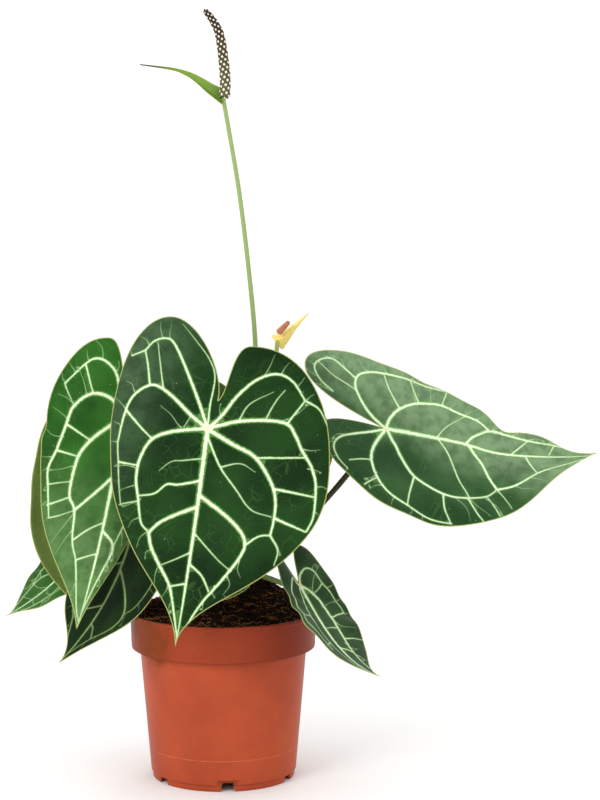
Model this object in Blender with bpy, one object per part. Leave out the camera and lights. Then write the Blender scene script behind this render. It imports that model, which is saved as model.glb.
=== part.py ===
"""Potted anthurium: velvety heart-shaped leaves and two flower spikes in a plastic nursery pot.

The model stands on the plane z = 0 with the pot's axis on the z axis, in metres. The viewer's
side is -Y. Every leaf blade, stalk, spathe and spike is one grown piece, so each is one object.
"""

import math
from dataclasses import dataclass

import bmesh
import bpy
import numpy as np

# ---------------------------------------------------------------- driving dimensions
GAP = 0.0003                    # clearance between pieces that touch

POT_RIM_RADIUS = 0.0600
POT_HEIGHT = 0.1070
POT_BAND_HEIGHT = 0.0233
POT_BAND_TAPER = 0.0013         # the band is this much narrower at its lower edge
POT_BEAD = 0.0025               # height of the raised lip at the very top
POT_SHOULDER = 0.0055           # step from the band in to the body
POT_BODY_TAPER = 0.0066         # the body narrows by this much on the way down
POT_WALL = 0.0014
POT_FOOT_HEIGHT = 0.0042
POT_FOOT_INSET = 0.0012         # the foot ring stands this far inside the body's lower edge
POT_FOOT_WALL = 0.0016
POT_FLOOR_Z = 0.0050
POT_FLOOR_THICKNESS = 0.0016
POT_BOSS_RADIUS = 0.0120        # support boss at the middle of the floor, down to the table
POT_SIDES = 48
FOOT_GAPS = 6
FOOT_GAP_WIDTH = 0.0076
FOOT_GAP_TURN = -85.0           # degrees, the gap nearest the viewer
SCALLOP_WIDTH = 0.0190
SCALLOP_HEIGHT = 0.0034
DRAIN_HOLES = 6
DRAIN_HOLE_RADIUS = 0.0030
DRAIN_RING_RADIUS = 0.0300

SOIL_EDGE_DROP = 0.0035         # how far below the rim the mix meets the wall
SOIL_HEAP = 0.0175              # how far the heap stands above its edge
SOIL_LUMP = 0.0012

CROWN_RADIUS = 0.0110
CROWN_HEIGHT = 0.0160           # from the mix up to the top of the dome
CROWN_DEPTH = 0.0120            # how deep it sits in the mix

BLADE_THICKNESS = 0.0012
BLADE_RAYS = 17                 # rays from the midrib to the margin on each half
BLADE_RINGS = 4
STALK_SIDES = 8
STALK_PIECES = 14


# ---------------------------------------------------------------- shared tools
def start_empty():
    """Removes every object so that the script builds from nothing."""
    for item in list(bpy.data.objects):
        bpy.data.objects.remove(item, do_unlink=True)


def finish(name, colour, roughness, metallic=0.0):
    """Returns a Principled material of one colour."""
    material = bpy.data.materials.new(name)
    material.use_nodes = True
    shader = material.node_tree.nodes["Principled BSDF"]
    shader.inputs["Base Color"].default_value = (*colour, 1.0)
    shader.inputs["Roughness"].default_value = roughness
    shader.inputs["Metallic"].default_value = metallic
    return material


def add_object(name, mesh, material):
    """Links a mesh to the scene as the named piece."""
    mesh.materials.append(material)
    item = bpy.data.objects.new(name, mesh)
    bpy.context.scene.collection.objects.link(item)
    return item


def mesh_from(name, points, faces):
    """Makes a closed, smooth mesh from points and faces, with its faces turned outwards."""
    built = bmesh.new()
    corners = [built.verts.new(tuple(float(v) for v in p)) for p in points]
    for face in faces:
        built.faces.new([corners[i] for i in face])
    bmesh.ops.remove_doubles(built, verts=built.verts, dist=1e-7)
    bmesh.ops.recalc_face_normals(built, faces=built.faces)
    mesh = bpy.data.meshes.new(name)
    built.to_mesh(mesh)
    built.free()
    mesh.shade_smooth()
    return mesh


def turned(name, profile, sides, radius_of=None):
    """Revolves (radius, z) points about the z axis; the first and last lie on the axis."""
    points = [(0.0, 0.0, profile[0][1])]
    faces = []
    for index, (radius, z) in enumerate(profile[1:-1]):
        for side in range(sides):
            turn = math.tau * side / sides
            r, height = (radius, z) if radius_of is None else radius_of(index, turn, radius, z)
            points.append((r * math.cos(turn), r * math.sin(turn), height))
    points.append((0.0, 0.0, profile[-1][1]))
    rings = len(profile) - 2
    last = len(points) - 1
    for side in range(sides):
        after = (side + 1) % sides
        faces.append((0, 1 + side, 1 + after))
        faces.append((last, last - sides + after, last - sides + side))
        for ring in range(rings - 1):
            low, high = 1 + ring * sides, 1 + (ring + 1) * sides
            faces.append((low + side, high + side, high + after, low + after))
    return mesh_from(name, points, faces)


def smooth_route(points, steps):
    """Reads steps + 1 points from the smooth curve through a list of points."""
    p = np.array(points, dtype=float)
    ends = np.vstack([2 * p[0] - p[1], p, 2 * p[-1] - p[-2]])
    result = []
    for share in np.linspace(0.0, len(p) - 1.0, steps + 1):
        i = min(int(share), len(p) - 2)
        t = share - i
        a, b, c, d = ends[i:i + 4]
        result.append(0.5 * (2 * b + (c - a) * t + (2 * a - 5 * b + 4 * c - d) * t ** 2
                             + (3 * b - a - 3 * c + d) * t ** 3))
    return np.array(result)


def arched_route(start, start_way, end, end_way, lift, settle, steps):
    """A cubic curve that leaves start along start_way and reaches end along end_way."""
    start, end = np.array(start), np.array(end)
    first = start + lift * np.array(start_way)
    second = end - settle * np.array(end_way)
    t = np.linspace(0.0, 1.0, steps + 1)[:, None]
    return ((1 - t) ** 3 * start + 3 * (1 - t) ** 2 * t * first
            + 3 * (1 - t) * t ** 2 * second + t ** 3 * end)


def unit(vector):
    """The vector at length one."""
    vector = np.array(vector, dtype=float)
    return vector / np.linalg.norm(vector)


def frames_along(route, side_hint):
    """Tangent, side and normal at every point of a route, turning as little as possible."""
    tangents = np.gradient(route, axis=0)
    tangents /= np.linalg.norm(tangents, axis=1)[:, None]
    sides = []
    side = np.array(side_hint, dtype=float)
    for tangent in tangents:
        side = unit(side - tangent * side.dot(tangent))
        sides.append(side)
    sides = np.array(sides)
    return tangents, sides, np.cross(sides, tangents)


def tube(name, route, radii, sides=STALK_SIDES, end_way=None):
    """A closed tube along a route, with flat ends, a radius for each point."""
    tangents, side, normal = frames_along(route, (0.31, 0.95, 0.05))
    if end_way is not None:
        side[-1] = unit(side[-1] - np.array(end_way) * side[-1].dot(end_way))
        normal[-1] = np.cross(side[-1], end_way)
    turns = np.linspace(0.0, math.tau, sides, endpoint=False)
    points = []
    for centre, across, up, radius in zip(route, side, normal, radii):
        for turn in turns:
            points.append(centre + radius * (across * math.cos(turn) + up * math.sin(turn)))
    faces = []
    for ring in range(len(route) - 1):
        for k in range(sides):
            after = (k + 1) % sides
            low, high = ring * sides, (ring + 1) * sides
            faces.append((low + k, low + after, high + after, high + k))
    faces.append(tuple(range(sides))[::-1])
    faces.append(tuple(range(len(points) - sides, len(points))))
    return mesh_from(name, points, faces)


# ---------------------------------------------------------------- leaf blades
@dataclass(frozen=True)
class Half:
    """Outline of one half of a heart-shaped blade, flat, with the stalk at the origin.

    The blade's length runs along +y to the tip and its lobes lie at -y.
    """

    width: float                # greatest half width
    widest: float               # how far along the blade that is
    lobe_out: float             # sideways place of the lobe's end
    lobe_back: float            # how far the lobe reaches behind the stalk
    notch: float = 0.003        # sideways lean of the notch between the lobes
    tip: float = 0.003          # fullness beside the tip
    waves: tuple = ()           # place along the blade, height and reach of each wave


@dataclass(frozen=True)
class Blade:
    """Size, shape and hang of one leaf blade. Angles are in degrees."""

    name: str
    joint: tuple                # where the stalk meets the blade
    heading: float              # compass direction of the tip, from +X towards +Y
    pitch: float                # how steeply the blade points down at its stalk
    bank: float                 # roll about its length
    length: float
    plus: Half                  # the half on the blade's +x side
    minus: Half                 # the half on its -x side
    droop: float = 12.0         # how much further the tip bends down
    lobe_droop: float = 0.0     # how much the lobes bend down behind the stalk
    fold_plus: float = 6.0      # how far each half is folded up from the midrib
    fold_minus: float = 6.0
    curl_plus: float = 0.8      # how strongly each half bends back towards its margin
    curl_minus: float = 0.8
    sweep: float = 0.0          # sideways bend of the tip
    apex: tuple = (0.0, -0.0030)    # where the notch between the lobes ends
    colour: tuple = (0.012, 0.050, 0.018)


def curve(a, b, c, d, count):
    """Points on the cubic curve with the four given control points."""
    t = np.linspace(0.0, 1.0, count)[:, None]
    a, b, c, d = (np.array(p, dtype=float) for p in (a, b, c, d))
    return (1 - t) ** 3 * a + 3 * (1 - t) ** 2 * t * b + 3 * (1 - t) * t ** 2 * c + t ** 3 * d


STALK_SHARE = 0.62              # rays start on the midrib up to this share of the margin
APEX_SHARE = 0.80               # and beyond this share between the stalk and the notch's end
TIP_SHARE, SHOULDER_SHARE = 0.30, 0.62
FLANK_SHARE, LOBE_SHARE = 0.55, 0.62
INNER_SHARE, NOTCH_SHARE = 0.60, 0.45


def half_outline(half, length, apex_x, apex_y, count):
    """The margin of one half, from the tip round the lobe to the notch, with x positive."""
    ahead = length - half.widest
    flank = half.widest + half.lobe_back
    upper = curve((0.0, length), (half.tip, length - TIP_SHARE * ahead),
                  (half.width, half.widest + SHOULDER_SHARE * ahead),
                  (half.width, half.widest), 30)
    middle = curve((half.width, half.widest), (half.width, half.widest - FLANK_SHARE * flank),
                   (half.lobe_out + LOBE_SHARE * (half.width - half.lobe_out), -half.lobe_back),
                   (half.lobe_out, -half.lobe_back), 30)
    lower = curve((half.lobe_out, -half.lobe_back),
                  ((1 - INNER_SHARE) * half.lobe_out, -half.lobe_back),
                  (half.notch, -NOTCH_SHARE * half.lobe_back), (apex_x, apex_y), 20)
    line = np.vstack([upper, middle[1:], lower[1:]])
    for place, height, reach in half.waves:
        line[:, 0] += height * np.exp(-((line[:, 1] - place) / reach) ** 2) * (line[:, 1] < length - 1e-4)
    steps = np.linalg.norm(np.diff(line, axis=0), axis=1)
    travelled = np.concatenate([[0.0], np.cumsum(steps)])
    wanted = np.linspace(0.0, travelled[-1], count)
    return np.stack([np.interp(wanted, travelled, line[:, k]) for k in (0, 1)], axis=1)


def blade_axes(blade):
    """Right, forward and normal directions of a blade at its stalk."""
    heading, pitch, bank = (math.radians(v) for v in (blade.heading, blade.pitch, blade.bank))
    level = np.array([math.cos(heading), math.sin(heading), 0.0])
    right = np.array([level[1], -level[0], 0.0])
    up = np.array([0.0, 0.0, 1.0])
    forward = level * math.cos(pitch) - up * math.sin(pitch)
    normal = up * math.cos(pitch) + level * math.sin(pitch)
    turned_right = right * math.cos(bank) + normal * math.sin(bank)
    return turned_right, forward, normal * math.cos(bank) - right * math.sin(bank)


# Leaf joints are given for a pot of this rim radius, and all places above the heap for this
# height of the crown. They move with the real sizes.
PLACED_RIM = 0.0600
PLACED_CROWN = 0.1370
HANG_GIVE = 1.15                # how much further than a wider rim the joints move out


def crown_top():
    """The height of the crown's top."""
    return POT_HEIGHT - SOIL_EDGE_DROP + SOIL_HEAP + CROWN_HEIGHT


def above_crown(points):
    """Places above the heap, moved up or down with the crown."""
    return np.array(points) + (0.0, 0.0, crown_top() - PLACED_CROWN)


def hung_joint(blade):
    """A blade's joint, which moves up and down with the crown.

    A wider rim pushes it outwards; inside a narrower one it hangs where it did.
    """
    distance = math.hypot(blade.joint[0], blade.joint[1])
    reach = 1.0 + HANG_GIVE * max(POT_RIM_RADIUS - PLACED_RIM, 0.0) / distance
    return above_crown(blade.joint) * (reach, reach, 1.0)


RIB_SOFTNESS = 0.006            # width over which the fold at the midrib is rounded
SIDE_SOFTNESS = 0.004


def blade_points(blade, x, y):
    """Places flat blade coordinates on the hanging, folded and curled leaf surface."""
    right, forward, normal = blade_axes(blade)
    ahead = math.radians(blade.droop) / blade.length
    behind = math.radians(blade.lobe_droop) / blade.length
    bend = np.where(y >= 0.0, ahead, -behind)
    bend = np.where(np.abs(bend) < 1e-6, 1e-6, bend)
    along, down, tilt = np.sin(bend * y) / bend, (1 - np.cos(bend * y)) / bend, bend * y
    plus = 1 / (1 + np.exp(-x / SIDE_SOFTNESS))
    fold = blade.fold_minus * (1 - plus) + blade.fold_plus * plus
    curl = blade.curl_minus * (1 - plus) + blade.curl_plus * plus
    away = np.sqrt(x * x + RIB_SOFTNESS ** 2) - RIB_SOFTNESS
    lift = away * np.sin(np.radians(fold)) - curl * x * x
    across = np.sign(x) * (np.abs(x) - away * (1 - np.cos(np.radians(fold))))
    across = across + blade.sweep * np.clip(y / blade.length, 0.0, 2.0) ** 2
    forth = along + lift * np.sin(tilt)
    rise = lift * np.cos(tilt) - down
    return (hung_joint(blade) + across[..., None] * right
            + forth[..., None] * forward + rise[..., None] * normal)


def blade_normals(blade, x, y):
    """Upward surface directions of the leaf at flat coordinates."""
    e = 1e-4
    to_right = blade_points(blade, x + e, y) - blade_points(blade, x - e, y)
    to_tip = blade_points(blade, x, y + e) - blade_points(blade, x, y - e)
    normal = np.cross(to_right, to_tip)
    return normal / np.linalg.norm(normal, axis=-1)[..., None]


def blade_mesh(blade):
    """A closed blade: a grid of rays from the midrib to the margin, above and below."""
    grid = []
    for half, sign in ((blade.plus, 1.0), (blade.minus, -1.0)):
        apex = (sign * blade.apex[0], blade.apex[1])
        margin = half_outline(half, blade.length, *apex, BLADE_RAYS)
        share = np.linspace(0.0, 1.0, BLADE_RAYS)[:, None]
        to_stalk = np.clip(1.0 - share / STALK_SHARE, 0.0, 1.0) ** 1.3
        to_apex = np.clip((share - APEX_SHARE) / (1.0 - APEX_SHARE), 0.0, 1.0)
        root = to_stalk * np.array([[0.0, blade.length]]) + to_apex * np.array([apex])
        fraction = np.linspace(0.0, 1.0, BLADE_RINGS + 1)[None, :, None]
        flat = root[:, None, :] * (1 - fraction) + margin[:, None, :] * fraction
        flat[..., 0] *= sign
        grid.append(flat)
    points, faces = [], []
    for flat, sign in zip(grid, (1, -1)):
        x, y = flat[..., 0], flat[..., 1]
        top = blade_points(blade, x, y)
        normal = blade_normals(blade, x, y)
        bottom = top - BLADE_THICKNESS * normal
        start = len(points)
        rows, columns = x.shape
        points += list(top.reshape(-1, 3)) + list(bottom.reshape(-1, 3))
        lower = rows * columns
        for i in range(rows - 1):
            for j in range(columns - 1):
                a, b = start + i * columns + j, start + i * columns + j + 1
                c, d = b + columns, a + columns
                faces.append((a, b, c, d))
                faces.append((a + lower, d + lower, c + lower, b + lower))
            edge, after = start + (i + 1) * columns - 1, start + (i + 2) * columns - 1
            faces.append((edge, edge + lower, after + lower, after))
    return welded(blade.name, points, faces)


def welded(name, points, faces):
    """Joins points that coincide and drops the faces that this closes up."""
    keys, order, kept = {}, [], []
    for point in points:
        key = tuple(round(float(v) * 1e6) for v in point)
        if key not in keys:
            keys[key] = len(kept)
            kept.append(point)
        order.append(keys[key])
    clean = []
    for face in faces:
        corners = []
        for i in face:
            if order[i] not in corners:
                corners.append(order[i])
        if len(corners) > 2:
            clean.append(tuple(corners))
    return mesh_from(name, kept, clean)


# The blades, from the front one round to the back. The viewer's left is a blade's +x side
# where the blade points towards the viewer.
BLADES = (
    Blade("leaf_front", (-0.0075, -0.0520, 0.2289), -104.0, 66.0, 0.0, 0.1325,
          Half(0.062, -0.010, 0.032, 0.073, -0.008, 0.008),
          Half(0.080, 0.032, 0.022, 0.054, 0.012, -0.004), apex=(-0.0050, -0.0180),
          droop=12.0, lobe_droop=-6.0, fold_plus=4.0, fold_minus=4.0,
          curl_plus=0.6, curl_minus=0.6, sweep=0.0085),
    Blade("leaf_left", (-0.0634, -0.0050, 0.2297), -112.0, 72.5, 4.0, 0.1325,
          Half(0.051, 0.008, 0.015, 0.052, 0.001, 0.014),
          Half(0.024, 0.018, 0.011, 0.032, 0.003, 0.004),
          droop=10.0, fold_plus=8.0, fold_minus=-30.0, curl_minus=3.5, sweep=0.017,
          colour=(0.016, 0.072, 0.018)),
    Blade("leaf_left_back", (-0.0870, 0.0450, 0.2100), 115.0, 78.0, 0.0, 0.1260,
          Half(0.036, 0.022, 0.016, 0.032), Half(0.040, 0.040, 0.016, 0.032, tip=0.010),
          droop=4.0, colour=(0.070, 0.110, 0.035)),
    Blade("leaf_far_left", (-0.0950, 0.0980, 0.1330), 205.0, 50.0, 18.0, 0.0780,
          Half(0.026, 0.020, 0.012, 0.022, tip=0.000), Half(0.024, 0.020, 0.012, 0.022, tip=0.000),
          droop=-30.0, colour=(0.016, 0.070, 0.020)),
    Blade("leaf_low_left", (-0.0557, 0.0080, 0.1715), -154.0, 81.5, 21.0, 0.1110,
          Half(0.046, 0.024, 0.018, 0.024, tip=0.006), Half(0.044, 0.024, 0.018, 0.016, tip=0.011),
          droop=-40.0, sweep=0.013, colour=(0.008, 0.030, 0.012)),
    Blade("leaf_right", (0.1031, -0.0100, 0.2239), 20.5, 20.5, -59.0, 0.1395,
          Half(0.068, 0.030, 0.015, 0.046, 0.001, 0.013),
          Half(0.043, -0.018, 0.026, 0.062, 0.004, 0.000,
               waves=((0.078, -0.0060, 0.010), (0.106, 0.0045, 0.013))),
          droop=-36.5, fold_plus=18.0, fold_minus=10.0, sweep=-0.010),
    Blade("leaf_low_right", (0.0492, -0.0450, 0.1307), -55.0, 50.0, 10.5, 0.0960,
          Half(0.021, 0.019, 0.014, 0.026, tip=0.004), Half(0.024, 0.019, 0.010, 0.028, tip=0.001),
          droop=-46.0, fold_plus=22.0, fold_minus=22.0, sweep=0.008),
    Blade("leaf_back", (0.0120, 0.0520, 0.2150), 95.0, 62.0, 0.0, 0.1020,
          Half(0.061, 0.012, 0.018, 0.026), Half(0.050, 0.012, 0.022, 0.040),
          droop=14.0, colour=(0.016, 0.068, 0.020)),
    Blade("leaf_young", (0.0130, -0.0280, 0.1310), -160.0, 20.0, 35.0, 0.0300,
          Half(0.0095, 0.008, 0.004, 0.003, tip=0.005), Half(0.0095, 0.008, 0.004, 0.003, tip=0.005),
          droop=10.0, colour=(0.060, 0.085, 0.060)),
)


# ---------------------------------------------------------------- leaf stalks
@dataclass(frozen=True)
class Stalk:
    """A leaf stalk from the crown to its blade."""

    name: str
    blade: str
    turn: float                 # compass place of its foot on the crown, in degrees
    climb: float                # how high on the crown's dome, in degrees
    lift: float                 # how far it keeps its first direction
    settle: float               # how far it keeps its last direction
    foot: float = 0.0023        # radii at the foot, along the middle and below the blade
    middle: float = 0.0017
    neck: float = 0.0021


STALKS = (
    Stalk("stalk_front", "leaf_front", 258.0, 30.0, 0.060, 0.030),
    Stalk("stalk_left", "leaf_left", 204.0, 74.0, 0.080, 0.046),
    Stalk("stalk_left_back", "leaf_left_back", 148.0, 30.0, 0.050, 0.025),
    Stalk("stalk_far_left", "leaf_far_left", 118.0, 24.0, 0.045, 0.022),
    Stalk("stalk_low_left", "leaf_low_left", 176.0, 24.0, 0.030, 0.025),
    Stalk("stalk_right", "leaf_right", 352.0, 30.0, 0.060, 0.025, middle=0.0019),
    Stalk("stalk_low_right", "leaf_low_right", 318.0, 20.0, 0.024, 0.008),
    Stalk("stalk_back", "leaf_back", 80.0, 30.0, 0.050, 0.030),
    Stalk("stalk_young", "leaf_young", 296.0, 4.0, 0.004, 0.003, 0.0013, 0.0010, 0.0011),
)


def crown_seat(turn, climb):
    """A point just off the crown's dome and the direction straight out of it there."""
    turn, climb = math.radians(turn), math.radians(climb)
    way = np.array([math.cos(turn) * math.cos(climb), math.sin(turn) * math.cos(climb),
                    math.sin(climb)])
    centre = np.array([0.0, 0.0, crown_top() - CROWN_RADIUS])
    return centre + (CROWN_RADIUS + GAP) * way, way


def stalk_object(stalk, blade, material):
    """Makes a leaf stalk whose end lies flat below its blade."""
    seat, way = crown_seat(stalk.turn, stalk.climb)
    normal = blade_normals(blade, np.array([0.0]), np.array([0.0]))[0]
    end = hung_joint(blade) - (BLADE_THICKNESS + GAP) * normal
    route = arched_route(seat, way, end, normal, stalk.lift, stalk.settle, STALK_PIECES)
    share = np.linspace(0.0, 1.0, STALK_PIECES + 1)
    radii = stalk.middle + (stalk.foot - stalk.middle) * np.exp(-share * 9.0)
    radii = radii + (stalk.neck - stalk.middle) * np.exp(-((share - 0.93) / 0.06) ** 2)
    radii[-1] = stalk.middle * 0.9
    return add_object(stalk.name, tube(stalk.name, route, radii, end_way=normal), material)


# ---------------------------------------------------------------- flower spikes
FLOWER_STALK_TALL = ((0.0150, 0.0060, 0.1900), (0.0200, 0.0030, 0.2400),
                     (0.0208, 0.0000, 0.2760), (0.0171, 0.0000, 0.3200),
                     (0.0107, 0.0000, 0.3733), (0.0018, 0.0000, 0.4262))
FLOWER_STALK_SHORT = ((0.0220, 0.0140, 0.1900), (0.0320, 0.0090, 0.2450),
                      (0.0344, 0.0050, 0.2765))
SPIKE_TALL = ((0.0020, 0.0, 0.4325), (0.0023, 0.0, 0.4420), (0.0013, 0.0, 0.4545),
              (-0.0011, 0.0, 0.4700), (-0.0052, 0.0, 0.4786), (-0.0107, 0.0, 0.4856))
SPIKE_SHORT = ((0.0366, 0.0030, 0.2835), (0.0395, 0.0010, 0.2870), (0.0425, 0.0000, 0.2910))
SPATHE_TALL = ((-0.0072, 0.0, 0.4321), (-0.0141, 0.0, 0.4395), (-0.0215, 0.0, 0.4451),
               (-0.0309, 0.0, 0.4488), (-0.0508, 0.0, 0.4519))
SPATHE_SHORT = ((0.0360, 0.0050, 0.2782), (0.0400, 0.0050, 0.2822), (0.0460, 0.0050, 0.2880),
                (0.0547, 0.0050, 0.2967))
FLOWER_STALK_RADII = (0.0017, 0.0013)       # at its foot and at its top
SPIKE_RADIUS_TALL, SPIKE_TIP_TALL = 0.0033, 0.0016
SPIKE_RADIUS_SHORT, SPIKE_TIP_SHORT = 0.0022, 0.0013


def strap(name, route, side_hint, half_widths, thickness, cup, columns=6):
    """A closed thin band along a route, hollow on its upper side by the cup share."""
    _, sides, normals = frames_along(route, side_hint)
    across = np.linspace(-1.0, 1.0, columns + 1)
    upper, lower = [], []
    for centre, side, normal, width in zip(route, sides, normals, half_widths):
        for s in across:
            top = centre + side * (width * s) + normal * (cup * width * abs(s) ** 1.6)
            upper.append(top)
            lower.append(top - normal * thickness * (1.0 - 0.5 * s * s))
    count, wide = len(route), columns + 1
    shift = count * wide
    faces = []
    for i in range(count - 1):
        for j in range(columns):
            a, b = i * wide + j, i * wide + j + 1
            faces.append((a, b, b + wide, a + wide))
            faces.append((a + shift, a + wide + shift, b + wide + shift, b + shift))
        for j in (0, columns):
            a, b = i * wide + j, (i + 1) * wide + j
            faces.append((a, b, b + shift, a + shift))
    for i in (0, count - 1):
        for j in range(columns):
            a, b = i * wide + j, i * wide + j + 1
            faces.append((a, b, b + shift, a + shift))
    return mesh_from(name, upper + lower, faces)


SPATHE_THICKNESS = 0.0010
SPATHE_ROOT = 0.0027            # the tall spathe's root lies this far above its stalk's end


def flower_stalk(name, turn, climb, points, material):
    """Makes a flower stalk from its seat on the crown through its route's points."""
    seat, way = crown_seat(turn, climb)
    route = smooth_route([seat, seat + 0.010 * way, *above_crown(points)], 2 * STALK_PIECES)
    foot, top = FLOWER_STALK_RADII
    radii = np.linspace(foot, top, len(route))
    return add_object(name, tube(name, route, radii), material)


def spike(name, points, radius, tip, material, steps=12):
    """Makes a flower spike: a tapering rod with rounded ends."""
    route = smooth_route(above_crown(points), steps)
    share = np.linspace(0.0, 1.0, steps + 1)
    radii = radius + (tip - radius) * share ** 2.2
    radii[0] *= 0.75
    radii[-1] *= 0.55
    return add_object(name, tube(name, route, radii, sides=10), material)


def flower_parts(materials):
    """Makes both flower stalks with their spathes and spikes."""
    flower_stalk("flower_stalk_tall", 60.0, 62.0, FLOWER_STALK_TALL, materials["flower_stalk"])
    flower_stalk("flower_stalk_short", 8.0, 55.0, FLOWER_STALK_SHORT, materials["flower_stalk"])
    top = above_crown(FLOWER_STALK_TALL[-1])
    root = [top + (0.0020, 0.0, SPATHE_ROOT), top + (-0.0020, 0.0, SPATHE_ROOT)]
    route = smooth_route([*root, *above_crown(SPATHE_TALL)], 14)
    share = np.linspace(0.0, 1.0, len(route))
    widths = 0.0022 + 0.0048 * np.sin(math.pi * np.clip(share * 1.02, 0, 1)) ** 0.8 - 0.0017 * share
    mesh = strap("spathe_tall", route, (0.0, 0.86, 0.50), widths, SPATHE_THICKNESS, 0.25)
    add_object("spathe_tall", mesh, materials["spathe_tall"])
    route = smooth_route(above_crown(SPATHE_SHORT), 10)
    share = np.linspace(0.0, 1.0, len(route))
    widths = 0.0018 + 0.0030 * np.sin(math.pi * share) - 0.0012 * share
    mesh = strap("spathe_short", route, (-0.68, 0.25, 0.68), widths, SPATHE_THICKNESS * 0.7, 0.45)
    add_object("spathe_short", mesh, materials["spathe_short"])
    spike("spadix_tall", SPIKE_TALL, SPIKE_RADIUS_TALL, SPIKE_TIP_TALL, materials["spadix_tall"])
    spike("spadix_short", SPIKE_SHORT, SPIKE_RADIUS_SHORT, SPIKE_TIP_SHORT,
          materials["spadix_short"], steps=6)


# ---------------------------------------------------------------- pot
def pot_radii():
    """Outer radii of the band's lower edge, the body at both ends, and the foot ring."""
    band_low = POT_RIM_RADIUS - POT_BAND_TAPER
    body_top = band_low - POT_SHOULDER
    body_low = body_top - POT_BODY_TAPER
    return band_low, body_top, body_low, body_low - POT_FOOT_INSET


def pot_profile():
    """The pot's section from the middle of its inner floor, over the rim and to its boss."""
    band_low, body_top, body_low, foot = pot_radii()
    rim, top, wall = POT_RIM_RADIUS, POT_HEIGHT, POT_WALL
    band_z = POT_HEIGHT - POT_BAND_HEIGHT
    floor_top = POT_FLOOR_Z + POT_FLOOR_THICKNESS
    soft = 0.0006               # rounding of the moulded corners
    inner = [(0.0, floor_top), (body_low - wall - 0.002, floor_top),
             (body_low - wall, floor_top + 0.002), (body_top - wall, band_z + wall - soft),
             (body_top - wall + soft, band_z + wall), (band_low - wall - soft, band_z + wall),
             (band_low - wall, band_z + wall + soft), (rim - wall, top - soft),
             (rim - wall + 0.0003, top)]
    outer = [(rim - 0.0004, top), (rim, top - 0.0004), (rim, top - POT_BEAD),
             (rim - soft, top - POT_BEAD - soft), (band_low, band_z + soft),
             (band_low - soft, band_z), (body_top + soft, band_z), (body_top, band_z - soft),
             (body_low, POT_FOOT_HEIGHT + 0.0026), (body_low - 0.0003, POT_FOOT_HEIGHT + 0.0009),
             (body_low - 0.0009, POT_FOOT_HEIGHT)]
    under = [(foot, POT_FOOT_HEIGHT), (foot - 0.0001, 0.0005), (foot - 0.0005, 0.0),
             (foot - POT_FOOT_WALL, 0.0), (foot - POT_FOOT_WALL - 0.0002, POT_FLOOR_Z),
             (POT_BOSS_RADIUS + 0.0006, POT_FLOOR_Z), (POT_BOSS_RADIUS, 0.0), (0.0, 0.0)]
    return inner + outer + under


def wedge(built, turn, inner, outer, low, high, width_low, width_high):
    """Adds a closed block that lies along a radius and narrows towards its top."""
    turn = math.radians(turn)
    out = np.array([math.cos(turn), math.sin(turn), 0.0])
    side = np.array([-out[1], out[0], 0.0])
    corners = []
    for z, width in ((low, width_low), (high, width_high)):
        for radius, sign in ((inner, -1), (outer, -1), (outer, 1), (inner, 1)):
            place = out * radius + side * (sign * width / 2) + np.array([0.0, 0.0, z])
            corners.append(built.verts.new(tuple(place)))
    for face in ((3, 2, 1, 0), (4, 5, 6, 7), (0, 1, 5, 4), (1, 2, 6, 5), (2, 3, 7, 6), (3, 0, 4, 7)):
        built.faces.new([corners[i] for i in face])


def cutter(name, built, target):
    """Turns a mesh into a hidden cutter and subtracts it from the target."""
    bmesh.ops.recalc_face_normals(built, faces=built.faces)
    mesh = bpy.data.meshes.new(name)
    built.to_mesh(mesh)
    built.free()
    item = bpy.data.objects.new(name, mesh)
    bpy.context.scene.collection.objects.link(item)
    item.hide_render = True
    item.display_type = "WIRE"
    cut = target.modifiers.new(name, "BOOLEAN")
    cut.operation = "DIFFERENCE"
    cut.solver = "EXACT"
    cut.object = item


def pot_object(material):
    """Makes the nursery pot with the gaps in its foot ring and its drain holes."""
    pot = add_object("pot", turned("pot", pot_profile(), POT_SIDES), material)
    _, _, body_low, foot = pot_radii()
    below = 0.002
    gaps = bmesh.new()
    for index in range(FOOT_GAPS):
        turn = FOOT_GAP_TURN + 360.0 * index / FOOT_GAPS
        wedge(gaps, turn, foot - 2 * POT_FOOT_WALL, foot + 0.0006, -below,
              POT_FOOT_HEIGHT - 0.0002, FOOT_GAP_WIDTH * 1.1, FOOT_GAP_WIDTH)
    for index in range(DRAIN_HOLES):
        turn = math.radians(FOOT_GAP_TURN) + math.tau * (index + 0.5) / DRAIN_HOLES
        hole = bmesh.ops.create_cone(gaps, cap_ends=True, segments=12, radius1=DRAIN_HOLE_RADIUS,
                                     radius2=DRAIN_HOLE_RADIUS, depth=3 * POT_FLOOR_THICKNESS)
        place = (DRAIN_RING_RADIUS * math.cos(turn), DRAIN_RING_RADIUS * math.sin(turn),
                 POT_FLOOR_Z + POT_FLOOR_THICKNESS / 2)
        bmesh.ops.translate(gaps, verts=hole["verts"], vec=place)
    cutter("foot_cutter", gaps, pot)
    scallops = bmesh.new()
    for index in range(0, FOOT_GAPS, 2):
        turn = FOOT_GAP_TURN + 360.0 * index / FOOT_GAPS
        wedge(scallops, turn, foot + 0.0003, body_low + 0.002, POT_FOOT_HEIGHT - 0.001,
              POT_FOOT_HEIGHT + SCALLOP_HEIGHT, SCALLOP_WIDTH, SCALLOP_WIDTH * 0.7)
    cutter("scallop_cutter", scallops, pot)
    return pot


# ---------------------------------------------------------------- potting mix and crown
def soil_edge():
    """Height at which the potting mix meets the pot's wall."""
    return POT_HEIGHT - SOIL_EDGE_DROP


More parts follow.
